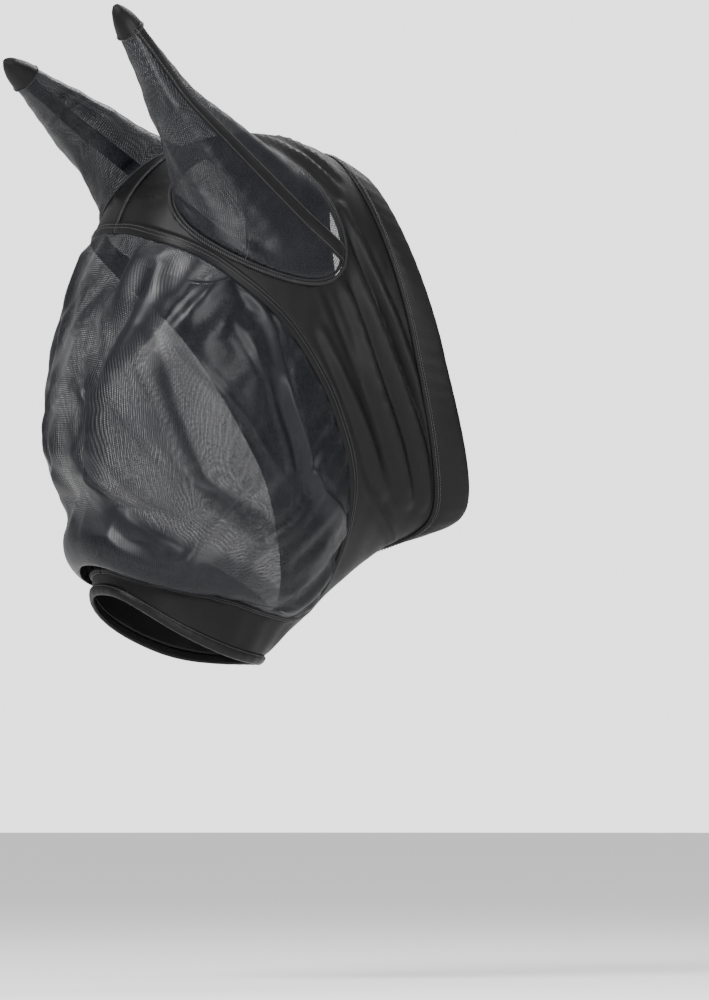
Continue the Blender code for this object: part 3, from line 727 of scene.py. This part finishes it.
def face_mesh(finish):
    """The pouch over both eyes. The right side has the same folds, softer and a little shifted."""
    left, left_uv, left_layers = mesh_half(MESH_FOLDS, 1.0)
    shifted = [(h, w * 1.1, s, lean, [(a * 0.96 + 0.02, d * 0.94 + 0.02) for a, d in line])
               for h, w, s, lean, line in MESH_FOLDS]
    right, right_uv, right_layers = mesh_half(shifted, 0.8)
    middle = (left[0] + mirrored(right[0])) / 2
    middle[:, 0] = 0
    points = np.concatenate([mirrored(right[:0:-1]), middle[None], left[1:]])
    uvs = np.concatenate([right_uv[:0:-1] * np.array([-1, 1]), left_uv])
    layers = np.concatenate([right_layers[:0:-1], left_layers])
    piece = cloth("face_mesh_cloth", points, uvs, finish, FACE_INSIDE)
    mark_folded(piece, layers)
    rows, columns = points.shape[:2]
    index = np.arange(rows * columns).reshape(rows, columns)
    held = np.concatenate([index[:, 0], index[:, -1], index[0], index[-1]])
    settle(piece, np.unique(held), DRAPE_FRAMES, DRAPE_SLACK, DRAPE_MOVE_MOST)
    smoother = piece.modifiers.new("smooth", "SUBSURF")
    smoother.levels = 1
    smoother.render_levels = 1
    return baked(piece)


# ---- Lycra ----
HOOD_ROWS = 96
HOOD_CORNER = 22
HOOD_COLUMNS = 56
BAND_COLUMNS = 18
# How far a panel reaches under a hem, how far it stays off the middle plane, and its ear opening's edge
HEM_LAP = 0.001
MIDDLE_GAP = 0.0004
OVAL_RIM = 1.03
# Drapes of the hood, as (height, half width, sharpness, lean, line of (phi in degrees, t))
HOOD_FOLDS = [
    (0.0050, 0.0060, 0.5, 0.0030, [(58, 0.790), (73, 0.783), (86, 0.786), (98, 0.783), (115, 0.789),
                                   (138, 0.792)]),
    (0.0052, 0.0066, 0.4, 0.0030, [(64, 0.826), (84, 0.833), (101, 0.848), (119, 0.862), (140, 0.856)]),
    (0.0040, 0.0056, 0.5, 0.0020, [(86, 0.703), (100, 0.707), (115, 0.710), (131, 0.705)]),
    (-0.0026, 0.0050, 0.4, 0.0, [(69, 0.745), (84, 0.745), (96, 0.745), (116, 0.750), (134, 0.752)]),
    (0.0040, 0.0052, 0.5, 0.0020, [(52, 0.868), (66, 0.872), (80, 0.880), (96, 0.900), (110, 0.912)]),
    (-0.0024, 0.0046, 0.4, 0.0, [(60, 0.850), (78, 0.858), (98, 0.872), (118, 0.890)]),
    (0.0026, 0.0036, 0.7, 0.0, [(4, 0.585), (12, 0.602), (19, 0.622), (25, 0.632)]),
    (0.0022, 0.0032, 0.7, 0.0, [(6, 0.612), (14, 0.628), (20, 0.642)]),
    (0.0042, 0.0056, 0.4, 0.0020, [(2, 0.800), (14, 0.815), (24, 0.832), (34, 0.856), (44, 0.880)]),
    (0.0036, 0.0050, 0.5, 0.0, [(1, 0.850), (12, 0.862), (24, 0.882), (36, 0.905)]),
    (-0.0022, 0.0046, 0.4, 0.0, [(3, 0.740), (14, 0.752), (22, 0.775)]),
    (0.0030, 0.0046, 0.5, 0.0, [(120, 0.650), (132, 0.680), (146, 0.720), (160, 0.760)]),
]


def panel_grid(edge, width, join_drop, columns):
    """(phi, t) of a panel, from the eye hem to the hem of the neck (edge 1) or of the nose (edge 0)."""
    opening = opening_path(HOOD_ROWS, HOOD_ROWS)
    outer = step_sideways(opening, hem_widths(HOOD_ROWS, HOOD_ROWS) - HEM_LAP)
    start = outer[:HOOD_ROWS + 1] if edge else outer[HOOD_ROWS:][::-1]
    join_phi = np.linspace(start[-1, 0], math.pi, HOOD_CORNER + 1)[1:]
    join = np.column_stack([join_phi, np.full(HOOD_CORNER, start[-1, 1] - join_drop)])
    start = np.concatenate([start, join])
    run = run_of(form(start[:, 1], start[:, 0]))
    end_phi = phi_along(edge, run / run[-1])
    end = np.column_stack([end_phi, t_from_edge(end_phi, width - HEM_LAP, edge)])
    return ruled(start, end, np.linspace(0, 1, columns + 1))


def oval_radius(grid):
    """How far out each point lies, 1 on the ear opening's edge and less inside, and the matrix for it."""
    base = np.linalg.inv(np.column_stack([OVAL_LONG, OVAL_SHORT]))
    return np.linalg.norm((grid - OVAL_CENTRE) @ base.T, axis=-1), base


def hood(side_name, side, strength, finish):
    """One side panel: its drapes, its ear opening, and the thickness of the cloth."""
    grid = panel_grid(1, NECK_HEM_WIDTH, 0, HOOD_COLUMNS)
    radius, base = oval_radius(grid)
    rows, columns = grid.shape[:2]
    quads = grid_faces(rows, columns)
    centre = radius.reshape(-1)[quads].mean(1)
    kept = quads[centre >= OVAL_RIM]
    dropped = np.unique(quads[centre < OVAL_RIM])
    edge = np.intersect1d(dropped, np.unique(kept))
    flat = grid.reshape(-1, 2).copy()
    spot = (flat[edge] - OVAL_CENTRE) @ base.T
    spot *= (OVAL_RIM / np.linalg.norm(spot, axis=1))[:, None]
    flat[edge] = OVAL_CENTRE + spot @ np.linalg.inv(base).T
    grid = flat.reshape(rows, columns, 2)
    phi, t = grid[..., 0], grid[..., 1]
    points = form(t, phi)
    out = normal(t, phi)
    shift, _ = press_folds(points, out, HOOD_FOLDS, lambda p: form(p[:, 1], np.radians(p[:, 0])))
    across = np.linspace(0, 1, columns)[None, :]
    calm = smooth_step(0, 0.07, across) * smooth_step(0, 0.07, 1 - across)
    calm = calm * smooth_step(1.02, 1.25, radius)
    waves = ripple(points, 0.0005, [((1, 0.2, 0.5), 0.037, 0.2), ((0.2, 0.3, 1), 0.061, 1.1),
                                    ((0.1, 1, -0.3), 0.024, 2.0)])
    points = points + shift * (strength * calm)[..., None] + out * (waves * calm)[..., None]
    points[[0, -1], :, 0] = MIDDLE_GAP
    place = points.reshape(-1, 3) * np.array([side, 1, 1])
    used = np.unique(kept)
    renumber = np.zeros(len(place), int)
    renumber[used] = np.arange(len(used))
    faces = outward(place[used], renumber[kept], np.array(FACE_INSIDE))
    uvs = weave_place(t, phi).reshape(-1, 2)[used] * np.array([side, 1])
    piece = add_piece("hood_cloth_" + side_name, place[used], faces.tolist(), uvs, finish)
    return thicken(piece, LYCRA)


def nose_band(finish):
    """The band round the nose, under the pouch."""
    grid = panel_grid(0, NOSE_HEM_WIDTH, BAND_JOIN_DROP, BAND_COLUMNS)
    phi, t = grid[..., 0], grid[..., 1]
    points = form(t, phi)
    across = np.linspace(0, 1, BAND_COLUMNS + 1)[None, :]
    calm = smooth_step(0, 0.15, across) * smooth_step(0, 0.15, 1 - across)
    lift = ripple(points, 0.0010, [((1, 0.1, 0.1), 0.034, 0.6), ((0.6, 1, 0.1), 0.052, 2.0),
                                   ((0.8, -0.7, 0.2), 0.023, 4.0)])
    points = points + normal(t, phi) * (lift * calm)[..., None]
    points[0, :, 0] = 0
    points[-1, :, 0] = MIDDLE_GAP
    whole = np.concatenate([mirrored(points[:0:-1]), points])
    uvs = weave_place(t, phi)
    uvs = np.concatenate([uvs[:0:-1] * np.array([-1, 1]), uvs])
    return thicken(cloth("nose_band_cloth", whole, uvs, finish, (0, -0.11, -0.45)), LYCRA)


def banded(inner, outer, shares, heights, under=0.0001):
    """Cross-sections of a padded band between two paths of (phi, t): its upper side at the given heights
    over the form, its lower side just above it."""
    rings = []
    for share, height in zip(shares, heights):
        path = inner * (1 - share) + outer * share
        rings.append(lifted(path[:, 1], path[:, 0], height))
    for share in shares[::-1][1:-1]:
        path = inner * (1 - share) + outer * share
        rings.append(lifted(path[:, 1], path[:, 0], under))
    return np.stack(rings, 1)


EYE_HEM_ROWS = (170, 110)
EYE_HEM_PUCKER = 0.0065
EYE_HEM_SHARES = (0.0, 0.05, 0.15, 0.30, 0.50, 0.70, 0.80, 0.86, 0.94, 1.0)
EYE_HEM_HEIGHTS = (0.0003, 0.0016, 0.0023, 0.0025, 0.0024, 0.0022, 0.0018, 0.0019, 0.0017, 0.0010)


def eye_hem(side_name, side, finish, thread):
    """The turned edge of the lycra round the face opening, with its cover stitches."""
    opening = opening_path(*EYE_HEM_ROWS)
    inner, outer = step_sideways(opening, -0.0008), step_sideways(opening, hem_widths(*EYE_HEM_ROWS))
    sections = banded(inner, outer, EYE_HEM_SHARES, EYE_HEM_HEIGHTS)
    run = run_of(form(opening[:, 1], opening[:, 0]))
    swell = 1 + 0.035 * np.sin(run * 2 * math.pi / EYE_HEM_PUCKER)
    middle = sections.mean(1, keepdims=True)
    sections = middle + (sections - middle) * swell[:, None, None]
    sections[[0, -1], :, 0] = MIDDLE_GAP / 2
    flip = np.array([side, 1, 1])
    piece = loft("eye_hem_cloth_" + side_name, sections * flip, finish)
    rows = []
    for share, height in ((0.80, 0.0022), (0.50, 0.0027)):
        path = inner * (1 - share) + outer * share
        ups = normal(path[:, 1], path[:, 0])
        line = form(path[:, 1], path[:, 0]) + ups * height
        rows.append([part * flip for part in stitch_row(line, ups, STITCH_PITCH, STITCH_LENGTH)])
    seam = threads("eye_hem_stitches_" + side_name, *joined(rows), thread)
    return piece, seam


def edge_ring(edge, outline, steps):
    """Closed ring of cross-sections round the neck (edge 1) or nose (edge 0), and its outward directions. An
    outline point is (distance in from the edge, height over the form); a negative one is past the edge."""
    phi = phi_along(edge, np.linspace(0, 1, steps // 2 + 1))
    outward_way = unit(form(np.full_like(phi, edge), phi) - form(np.full_like(phi, abs(edge - 0.01)), phi))
    rows = []
    for distance, height in outline:
        t = t_from_edge(phi, max(distance, 0), edge)
        pucker = 1 + 0.03 * np.sin(np.arange(len(phi)) * 0.9) * (height > 0.002)
        row = lifted(t, phi, height * pucker) - outward_way * min(distance, 0)
        row[[0, -1], 0] = 0
        rows.append(row)
    half = np.stack(rows, 1)
    ups = normal(np.full_like(phi, edge), phi)
    return np.concatenate([half, mirrored(half[-2:0:-1])]), np.concatenate([ups, mirrored(ups[-2:0:-1])])


def edge_hem(name, edge, width, steps, finish, thread, rows_at):
    """A hem folded over its elastic, with rows of cover stitch along it."""
    height = HEM_HEIGHT
    outline = [(width, 0.0009), (width, 0.0022), (width * 0.97, 0.0030), (width * 0.90, height - 0.0006),
               (width * 0.84, height - 0.0009), (width * 0.78, height), (width * 0.55, height + 0.0005),
               (width * 0.30, height + 0.0006), (width * 0.10, height + 0.0002), (-0.0010, height - 0.0004),
               (-0.0018, height / 2), (-0.0010, 0.0004), (width * 0.10, 0.0002), (width * 0.5, 0.0002)]
    sections, ups = edge_ring(edge, outline, steps)
    piece = loft(name + "_cloth", sections, finish, closed=True)
    rows = []
    for share, lift in rows_at:
        path, _ = edge_ring(edge, [(width * share, lift)], steps)
        line = np.concatenate([path[:, 0], path[:1, 0]])
        rows.append(stitch_row(line, np.concatenate([ups, ups[:1]]), STITCH_PITCH, STITCH_LENGTH))
    seam = threads(name + "_stitches", *joined(rows), thread)
    return piece, seam


def overlock(name, line, ups, width, height, finish, thread, closed=False):
    """A raised overlocked seam along a line: a rounded ridge under slanting loops of thread."""
    extended = np.concatenate([line[-2:-1], line, line[1:2]]) if closed else line
    course = unit(np.gradient(extended, axis=0))
    course = course[1:-1] if closed else course
    side = unit(np.cross(course, ups))
    angle = np.linspace(0, 2 * math.pi, 11)[:-1]
    run = run_of(line)
    bumps = 1 + 0.10 * np.sin(run * 2 * math.pi / (OVERLOCK_PITCH * 2))
    off = (np.cos(angle)[None, :, None] * side[:, None] * width / 2 +
           (np.sin(angle)[None, :, None] * ups[:, None] * height / 2 + ups[:, None] * height / 2))
    sections = line[:, None] + off * bumps[:, None, None]
    body_rings = sections[:-1] if closed else sections
    ridge = loft(name + "_ridge", body_rings, finish, closed=closed, along=run[:len(body_rings)])
    starts, ends, up = stitch_row(line, ups, OVERLOCK_PITCH, 0.0001, slant=1.0, across=side * width * 0.52)
    lift = up * height * 0.86
    drift = unit(ends - starts)
    forward = np.cross(up, drift) * OVERLOCK_PITCH * 0.35
    loops = threads(name + "_loops", starts + lift - forward, ends + lift + forward, up, thread, bow=2.2)
    return ridge, loops


def middle_line(phi, t_start, t_end, lift, steps=90):
    """A line along the middle plane of the form, and its outward directions."""
    t = np.linspace(t_start, t_end, steps + 1)
    p = np.full_like(t, phi)
    ups = normal(t, np.clip(p, 0.03, math.pi - 0.03))
    ups[:, 0] = 0
    ups = unit(ups)
    line = form(t, p)
    line[:, 0] = 0
    return line + ups * lift, ups


# ---- Ears ----
EAR_AROUND = 96
EAR_UP = 110
CAP_AROUND = 48
OVAL_AROUND = 150
# How far the ear's mesh reaches into the cap
CAP_LAP = 0.003
# Dents and flutes of each ear's mesh, as (depth, turn round the ear, share up it, width, height)
EAR_WRINKLES = {
    "left": [(0.0032, 0.30, 0.34, 0.05, 0.34), (-0.0030, 0.40, 0.38, 0.05, 0.30),
             (0.0026, 0.62, 0.45, 0.05, 0.30), (-0.0026, 0.72, 0.40, 0.05, 0.26),
             (0.0024, 0.88, 0.26, 0.04, 0.24), (-0.0030, 0.52, 0.62, 0.07, 0.10),
             (0.0020, 0.14, 0.30, 0.04, 0.24), (-0.0022, 0.20, 0.62, 0.05, 0.12)],
    "right": [(-0.0065, 0.90, 0.66, 0.14, 0.030), (0.0040, 0.90, 0.72, 0.14, 0.045),
              (0.0034, 0.90, 0.58, 0.14, 0.045), (0.0030, 0.30, 0.40, 0.05, 0.34),
              (-0.0030, 0.42, 0.36, 0.05, 0.30), (0.0024, 0.62, 0.50, 0.05, 0.26),
              (-0.0026, 0.74, 0.32, 0.05, 0.24), (0.0022, 0.14, 0.44, 0.04, 0.24)],
}
# The strip's cross-section, as (share of its half width, height), and how its flat side bends with the ear
STRIP_OUTLINE = [(-1.0, 0.0002), (-0.98, 0.0012), (-0.86, 0.0015), (-0.4, 0.0017), (0, 0.0018), (0.4, 0.0017),
                 (0.86, 0.0015), (0.98, 0.0012), (1.0, 0.0002), (0.4, 0.0002), (-0.4, 0.0002)]
STRIP_BEND = 22
STRIP_STITCH_AT = 0.78
STRIP_STITCH_HEIGHT = 0.0018
# The two ridges where an ear is sewn in, as (label, distance outside the opening, width, height)
EAR_RIDGES = [("inner", 0.0008, 0.0030, 0.0022), ("outer", 0.0042, 0.0034, 0.0024)]


def oval_path(outset, steps):
    """Closed path of (phi, t) round the ear opening, moved outward by a distance."""
    angle = np.linspace(0, 2 * math.pi, steps + 1) + STRIP_AT
    path = OVAL_CENTRE + np.cos(angle)[:, None] * OVAL_LONG + np.sin(angle)[:, None] * OVAL_SHORT
    padded = np.concatenate([path[-3:-1], path, path[1:3]])
    return step_sideways(padded, outset)[2:-3]


def leaf_ring(ear, from_tip, steps):
    """Points round the ear's leaf at a distance from its tip, starting at the strip."""
    tip, neck = np.array(ear["tip"]), np.array(ear["neck"])
    axis = unit(neck - tip)
    lateral = unit(np.array([ear["side"], 0, 0]) - axis * axis[0] * ear["side"])
    back = np.cross(axis, lateral) * ear["side"]
    if back[1] < 0:
        back = -back
    breadth, depth = smooth_curve(EAR_LEAF, from_tip)
    angle = np.linspace(0, 2 * math.pi, steps + 1)[:-1] + STRIP_AT + EAR_RING_TURN
    off = angle - EAR_BREADTH_TURN
    radius = breadth * depth / np.sqrt((depth * np.cos(off)) ** 2 + (breadth * np.sin(off)) ** 2)
    centre = tip + axis * from_tip
    return centre + radius[:, None] * (np.cos(angle)[:, None] * back + np.sin(angle)[:, None] * lateral)


def ear_surface(ear):
    """Grid (round the ear, from the oval up to the cap) of the ear's mesh, and its outward directions."""
    flip = np.array([ear["side"], 1, 1])
    path = oval_path(-0.0006, EAR_AROUND)
    foot = form(path[:, 1], path[:, 0]) * flip
    low = lifted(path[:, 1], path[:, 0], 0.0035) * flip
    high = leaf_ring(ear, LEAF_LENGTH + 0.002, EAR_AROUND)
    rings, place = [foot, low], [0.0, 0.02]
    for share in (0.25, 0.5, 0.75):
        rings.append(low * (1 - share) + high * share)
        place.append(0.02 + 0.55 * share)
    for share in (0, 0.33, 0.66, 1):
        from_tip = LEAF_LENGTH + (TIP_LENGTH - CAP_LAP - LEAF_LENGTH) * share
        rings.append(leaf_ring(ear, from_tip, EAR_AROUND))
        place.append(0.58 + 0.42 * share)
    table = np.column_stack([place, np.array(rings).reshape(len(rings), -1)])
    up = smooth_curve(table, np.linspace(0, 1, EAR_UP + 1)).reshape(EAR_UP + 1, EAR_AROUND, 3)
    points = np.swapaxes(up, 0, 1)
    around = np.roll(points, -1, 0) - np.roll(points, 1, 0)
    along = np.gradient(points, axis=1)
    out = unit(np.cross(around, along))
    middle = points.mean(0, keepdims=True)
    out = out * np.sign((out * (points - middle)).sum(-1).mean())
    return points, out


def ear_mesh(name, ear, finish):
    """The see-through part of the ear, in one piece from the hood to the cap."""
    points, out = ear_surface(ear)
    turn = np.linspace(0, 1, EAR_AROUND + 1)[:-1][:, None]
    rise = np.linspace(0, 1, EAR_UP + 1)[None, :]
    lift = np.zeros(points.shape[:2])
    for depth, at_turn, at_rise, wide, tall in EAR_WRINKLES[name]:
        apart = np.abs((turn - at_turn + 0.5) % 1 - 0.5)
        lift += depth * np.exp(-(apart / wide) ** 2 - ((rise - at_rise) / tall) ** 2)
    lift += ripple(points, 0.0006, [((1, 0.2, 0.6), 0.026, 0.3), ((0.3, 1, 0.4), 0.034, 1.7),
                                    ((0, 1, -1), 0.019, 0.8)])
    lift *= smooth_step(0.02, 0.14, rise) * smooth_step(0, 0.10, 1 - rise)
    lift *= smooth_step(0.02, 0.07, np.minimum(turn, 1 - turn))
    points = points + out * lift[..., None]
    girth = np.linalg.norm(np.roll(points, -1, 0) - points, axis=-1).sum(0)
    uvs = np.stack(np.broadcast_arrays((turn - 0.5) * girth[None, :], run_of(points.mean(0))[None, :]), -1)
    piece = cloth("ear_mesh_" + name, points, uvs, finish, points.mean((0, 1)), ring=True)
    mark_folded(piece, np.clip(np.abs(lift) / 0.004, 0, 1.5))
    return piece


def ear_strip(name, ear, finish, thread):
    """The lycra strip up the outside of the ear, sewn down along both edges."""
    points, out = ear_surface(ear)
    line, ups = points[0], out[0]
    course = unit(np.gradient(line, axis=0))
    side = unit(np.cross(course, ups))
    width = STRIP_LOW + (STRIP_HALF - STRIP_LOW) * smooth_step(0.2, 0.9, np.linspace(0, 1, EAR_UP + 1))

    def beside(share, height):
        aside = share * width[:, None]
        return line + side * aside - ups * aside**2 * STRIP_BEND + ups * height

    sections = np.stack([beside(share, height) for share, height in STRIP_OUTLINE], 1)
    piece = loft("ear_strip_" + name, sections, finish)
    stitches = [stitch_row(beside(share, STRIP_STITCH_HEIGHT), ups, STITCH_PITCH, STITCH_LENGTH)
                for share in (-STRIP_STITCH_AT, STRIP_STITCH_AT)]
    seam = threads("ear_strip_stitches_" + name, *joined(stitches), thread)
    return piece, seam


def ear_cap(name, ear, finish, thread):
    """The lycra cap over the tip, with its seam."""
    lengths = np.concatenate([np.linspace(TIP_LENGTH + 0.001, 0.010, 14), np.linspace(0.008, 0.0006, 8)])
    rings = np.stack([leaf_ring(ear, length, CAP_AROUND) for length in lengths], 1)
    middle = rings.mean(0, keepdims=True)
    out = unit(rings - middle)
    lift = 0.0009 + ripple(rings, 0.0004, [((1, 0.2, 0.3), 0.013, 0.2), ((0.1, 1, 0.4), 0.017, 1.4)])
    rings = rings + out * lift[..., None]
    top = rings[:, -1].mean(0) + unit(np.array(ear["tip"]) - np.array(ear["neck"])) * 0.0012
    verts = np.concatenate([rings.reshape(-1, 3), [top]])
    sides, levels = rings.shape[:2]
    plain = grid_faces(sides, levels, ring=True)
    body = outward(verts, plain, rings.mean((0, 1)))
    turned = not np.array_equal(body, plain)
    crown = []
    for k in range(sides):
        one, two = k * levels + levels - 1, (k + 1) % sides * levels + levels - 1
        crown.append((two, len(verts) - 1, one) if turned else (one, len(verts) - 1, two))
    run = run_of(rings.mean(0))
    uvs = np.stack(np.broadcast_arrays(np.linspace(0, 0.08, sides)[:, None], run[None, :]), -1).reshape(-1, 2)
    uvs = np.concatenate([uvs, [[0.04, run[-1] + 0.001]]])
    piece = add_piece("ear_cap_" + name, verts, body.tolist() + crown, uvs, finish)
    thicken(piece, 0.0006)
    line = np.concatenate([rings[:, 0], rings[:1, 0]])
    ups = np.concatenate([out[:, 0], out[:1, 0]])
    ridge, loops = overlock("ear_cap_seam_" + name, line, ups, 0.0020, 0.0007, finish, thread, closed=True)
    return piece, ridge, loops


def ear_seam(name, ear, finish, thread):
    """The double ridge where the ear is sewn into the hood."""
    flip = np.array([ear["side"], 1, 1])
    pieces = []
    for label, outset, width, height in EAR_RIDGES:
        path = oval_path(outset, OVAL_AROUND)
        path = np.concatenate([path, path[:1]])
        ups = normal(path[:, 1], path[:, 0])
        line = (form(path[:, 1], path[:, 0]) + ups * 0.0006) * flip
        pieces += overlock("ear_seam_" + label + "_" + name, line, ups * flip, width, height, finish, thread,
                           closed=True)
    return pieces


# ---- Everything in place ----
def place(piece, body, slot_name, *nodes):
    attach(piece, body)
    if nodes:
        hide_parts(*nodes)
    return piece


def build_ear(name, ear, finishes):
    """An ear's pieces; the mesh and its strip stay where they are made, on no body."""
    body = "ear_" + name
    mesh = ear_mesh(name, ear, finishes["ear"])
    strip, strip_seam = ear_strip(name, ear, finishes["lycra"], finishes["thread"])
    for piece, slot_name in ((mesh, "mesh"), (strip, "lycra"), (strip_seam, "thread")):
        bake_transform(piece)
    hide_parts("ear_skirt_" + name, "ear_leaf_" + name)
    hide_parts("ear_skirt_strip_" + name, "ear_leaf_strip_" + name)
    cap, *cap_seam = ear_cap(name, ear, finishes["lycra"], finishes["thread"])
    place(cap, body, "lycra", "ear_tip_" + name)
    for piece in cap_seam:
        place(piece, body, "thread")
    seams = ear_seam(name, ear, finishes["lycra"], finishes["thread"])
    for piece in seams:
        place(piece, "hood", "thread")
    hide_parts("ear_seam_" + name)


def build_mask():
    finishes = {"lycra": lycra_finish(), "mesh": mesh_finish("charcoal_face_mesh", 0.76),
                "ear": mesh_finish("charcoal_ear_mesh", 0.86), "thread": thread_finish(),
                "elastic": elastic_finish()}
    lycra, thread = finishes["lycra"], finishes["thread"]
    pouch = place(face_mesh(finishes["mesh"]), "hood", "mesh", "face_mesh")
    for side_name, side, strength in (("left", 1, 1.0), ("right", -1, 0.85)):
        panel = place(hood(side_name, side, strength, lycra), "hood", "lycra", "hood_" + side_name)
        hem, seam = eye_hem(side_name, side, lycra, thread)
        place(hem, "hood", "lycra", "eye_hem_" + side_name)
        place(seam, "hood", "thread")
    band = place(nose_band(lycra), "hood", "lycra", "nose_band")
    for name, edge, width, steps, rows_at in (
            ("neck_hem", 1, NECK_HEM_WIDTH, 420, ((0.90, 0.0040), (0.83, 0.0038))),
            ("nose_hem", 0, NOSE_HEM_WIDTH, 260, ((0.84, 0.0038),))):
        hem, seam = edge_hem(name, edge, width, steps, lycra, thread, rows_at)
        place(hem, "hood", "lycra", name)
        place(seam, "hood", "thread")
    brow = float(opening_path(8, 8)[0, 1])
    neck_t = float(t_from_edge(0.0, NECK_HEM_WIDTH, 1)[0])
    jaw_t = float(t_from_edge(math.pi, NECK_HEM_WIDTH, 1)[0])
    chin_t = float(t_from_edge(math.pi, NOSE_HEM_WIDTH, 0)[0])
    for name, phi, low, high in (("crown_seam", 0.0, brow + CROWN_START, neck_t),
                                 ("jaw_seam", math.pi, chin_t, jaw_t)):
        line, ups = middle_line(phi, low, high, 0.0006)
        ridge, loops = overlock(name, line, ups, 0.0036, 0.0019, lycra, thread)
        place(ridge, "hood", "thread", name)
        place(loops, "hood", "thread")
    for name in ("neck_elastic", "nose_elastic"):
        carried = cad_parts[name].data.materials
        carried.clear()
        carried.append(finishes["elastic"])
    for name, ear in EARS.items():
        build_ear(name, ear, finishes)


# ---- Camera, floor and light ----
CAMERA_TURN = math.radians(60)
CAMERA_DISTANCE = 20
FRAME_HEIGHT = 0.95
TARGET_RIGHT = 0.066
TARGET_UP = -0.342
FLOOR_LEVEL = -0.80
# The backdrop's strength as the camera sees it, and as it lights the mask
BACKGROUND_SEEN = 2.4
BACKGROUND_LIGHT = 0.6
LIGHT_AIM = (0, -0.05, -0.2)
# Softboxes, as (name, place, size, power)
SOFTBOXES = [("key", (0.9, -1.7, 1.3), 0.8, 85), ("side", (2.3, 0.3, 0.3), 0.8, 42),
             ("rim", (-0.9, 1.3, 1.5), 0.9, 26)]
SUN_STRENGTH = 1.0
SUN_ANGLE = math.radians(70)


def camera():
    """Level, three-quarters from the horse's left and front."""
    back = np.array([math.sin(CAMERA_TURN), -math.cos(CAMERA_TURN), 0])
    right = np.array([math.cos(CAMERA_TURN), math.sin(CAMERA_TURN), 0])
    data = bpy.data.cameras.new("camera")
    data.sensor_width = 36
    data.lens = 36 * CAMERA_DISTANCE / FRAME_HEIGHT
    made = linked("camera", data)
    made.location = right * TARGET_RIGHT + np.array([0, 0, TARGET_UP]) + back * CAMERA_DISTANCE
    made.rotation_euler = (math.pi / 2, 0, CAMERA_TURN)
    bpy.context.scene.camera = made


def softbox(name, place_at, size, power):
    data = bpy.data.lights.new(name, "AREA")
    data.shape = "SQUARE"
    data.size = size
    data.energy = power
    made = linked(name, data)
    made.location = place_at
    way = np.array(LIGHT_AIM) - np.array(place_at)
    tilt = math.acos(-way[2] / np.linalg.norm(way))
    made.rotation_euler = (tilt, 0, math.atan2(way[1], way[0]) - math.pi / 2)


def studio():
    """Plain pale floor and soft light."""
    bpy.ops.mesh.primitive_circle_add(vertices=96, radius=9, fill_type="NGON", location=(0, 0, FLOOR_LEVEL))
    floor = bpy.context.object
    floor.name = "floor"
    n = Nodes("pale_floor")
    n.colour(n.noise(2, 2), (0.86, 0.86, 0.86), (0.90, 0.90, 0.90))
    n.set({"Roughness": 0.9})
    floor.data.materials.append(n.material)
    world = bpy.data.worlds.new("studio")
    world.use_nodes = True
    tree = world.node_tree
    seen, lit = tree.nodes["Background"], tree.nodes.new("ShaderNodeBackground")
    seen.inputs["Color"].default_value = (1, 1, 1, 1)
    seen.inputs["Strength"].default_value = BACKGROUND_SEEN
    lit.inputs["Color"].default_value = (1, 1, 1, 1)
    lit.inputs["Strength"].default_value = BACKGROUND_LIGHT
    which, mixed = tree.nodes.new("ShaderNodeLightPath"), tree.nodes.new("ShaderNodeMixShader")
    tree.links.new(which.outputs["Is Camera Ray"], mixed.inputs["Fac"])
    tree.links.new(lit.outputs[0], mixed.inputs[1])
    tree.links.new(seen.outputs[0], mixed.inputs[2])
    tree.links.new(mixed.outputs[0], tree.nodes["World Output"].inputs["Surface"])
    bpy.context.scene.world = world
    for box in SOFTBOXES:
        softbox(*box)
    sun = bpy.data.lights.new("overhead", "SUN")
    sun.energy = SUN_STRENGTH
    sun.angle = SUN_ANGLE
    linked("overhead", sun)


camera()
studio()
build_mask()
bpy.context.view_layer.update()
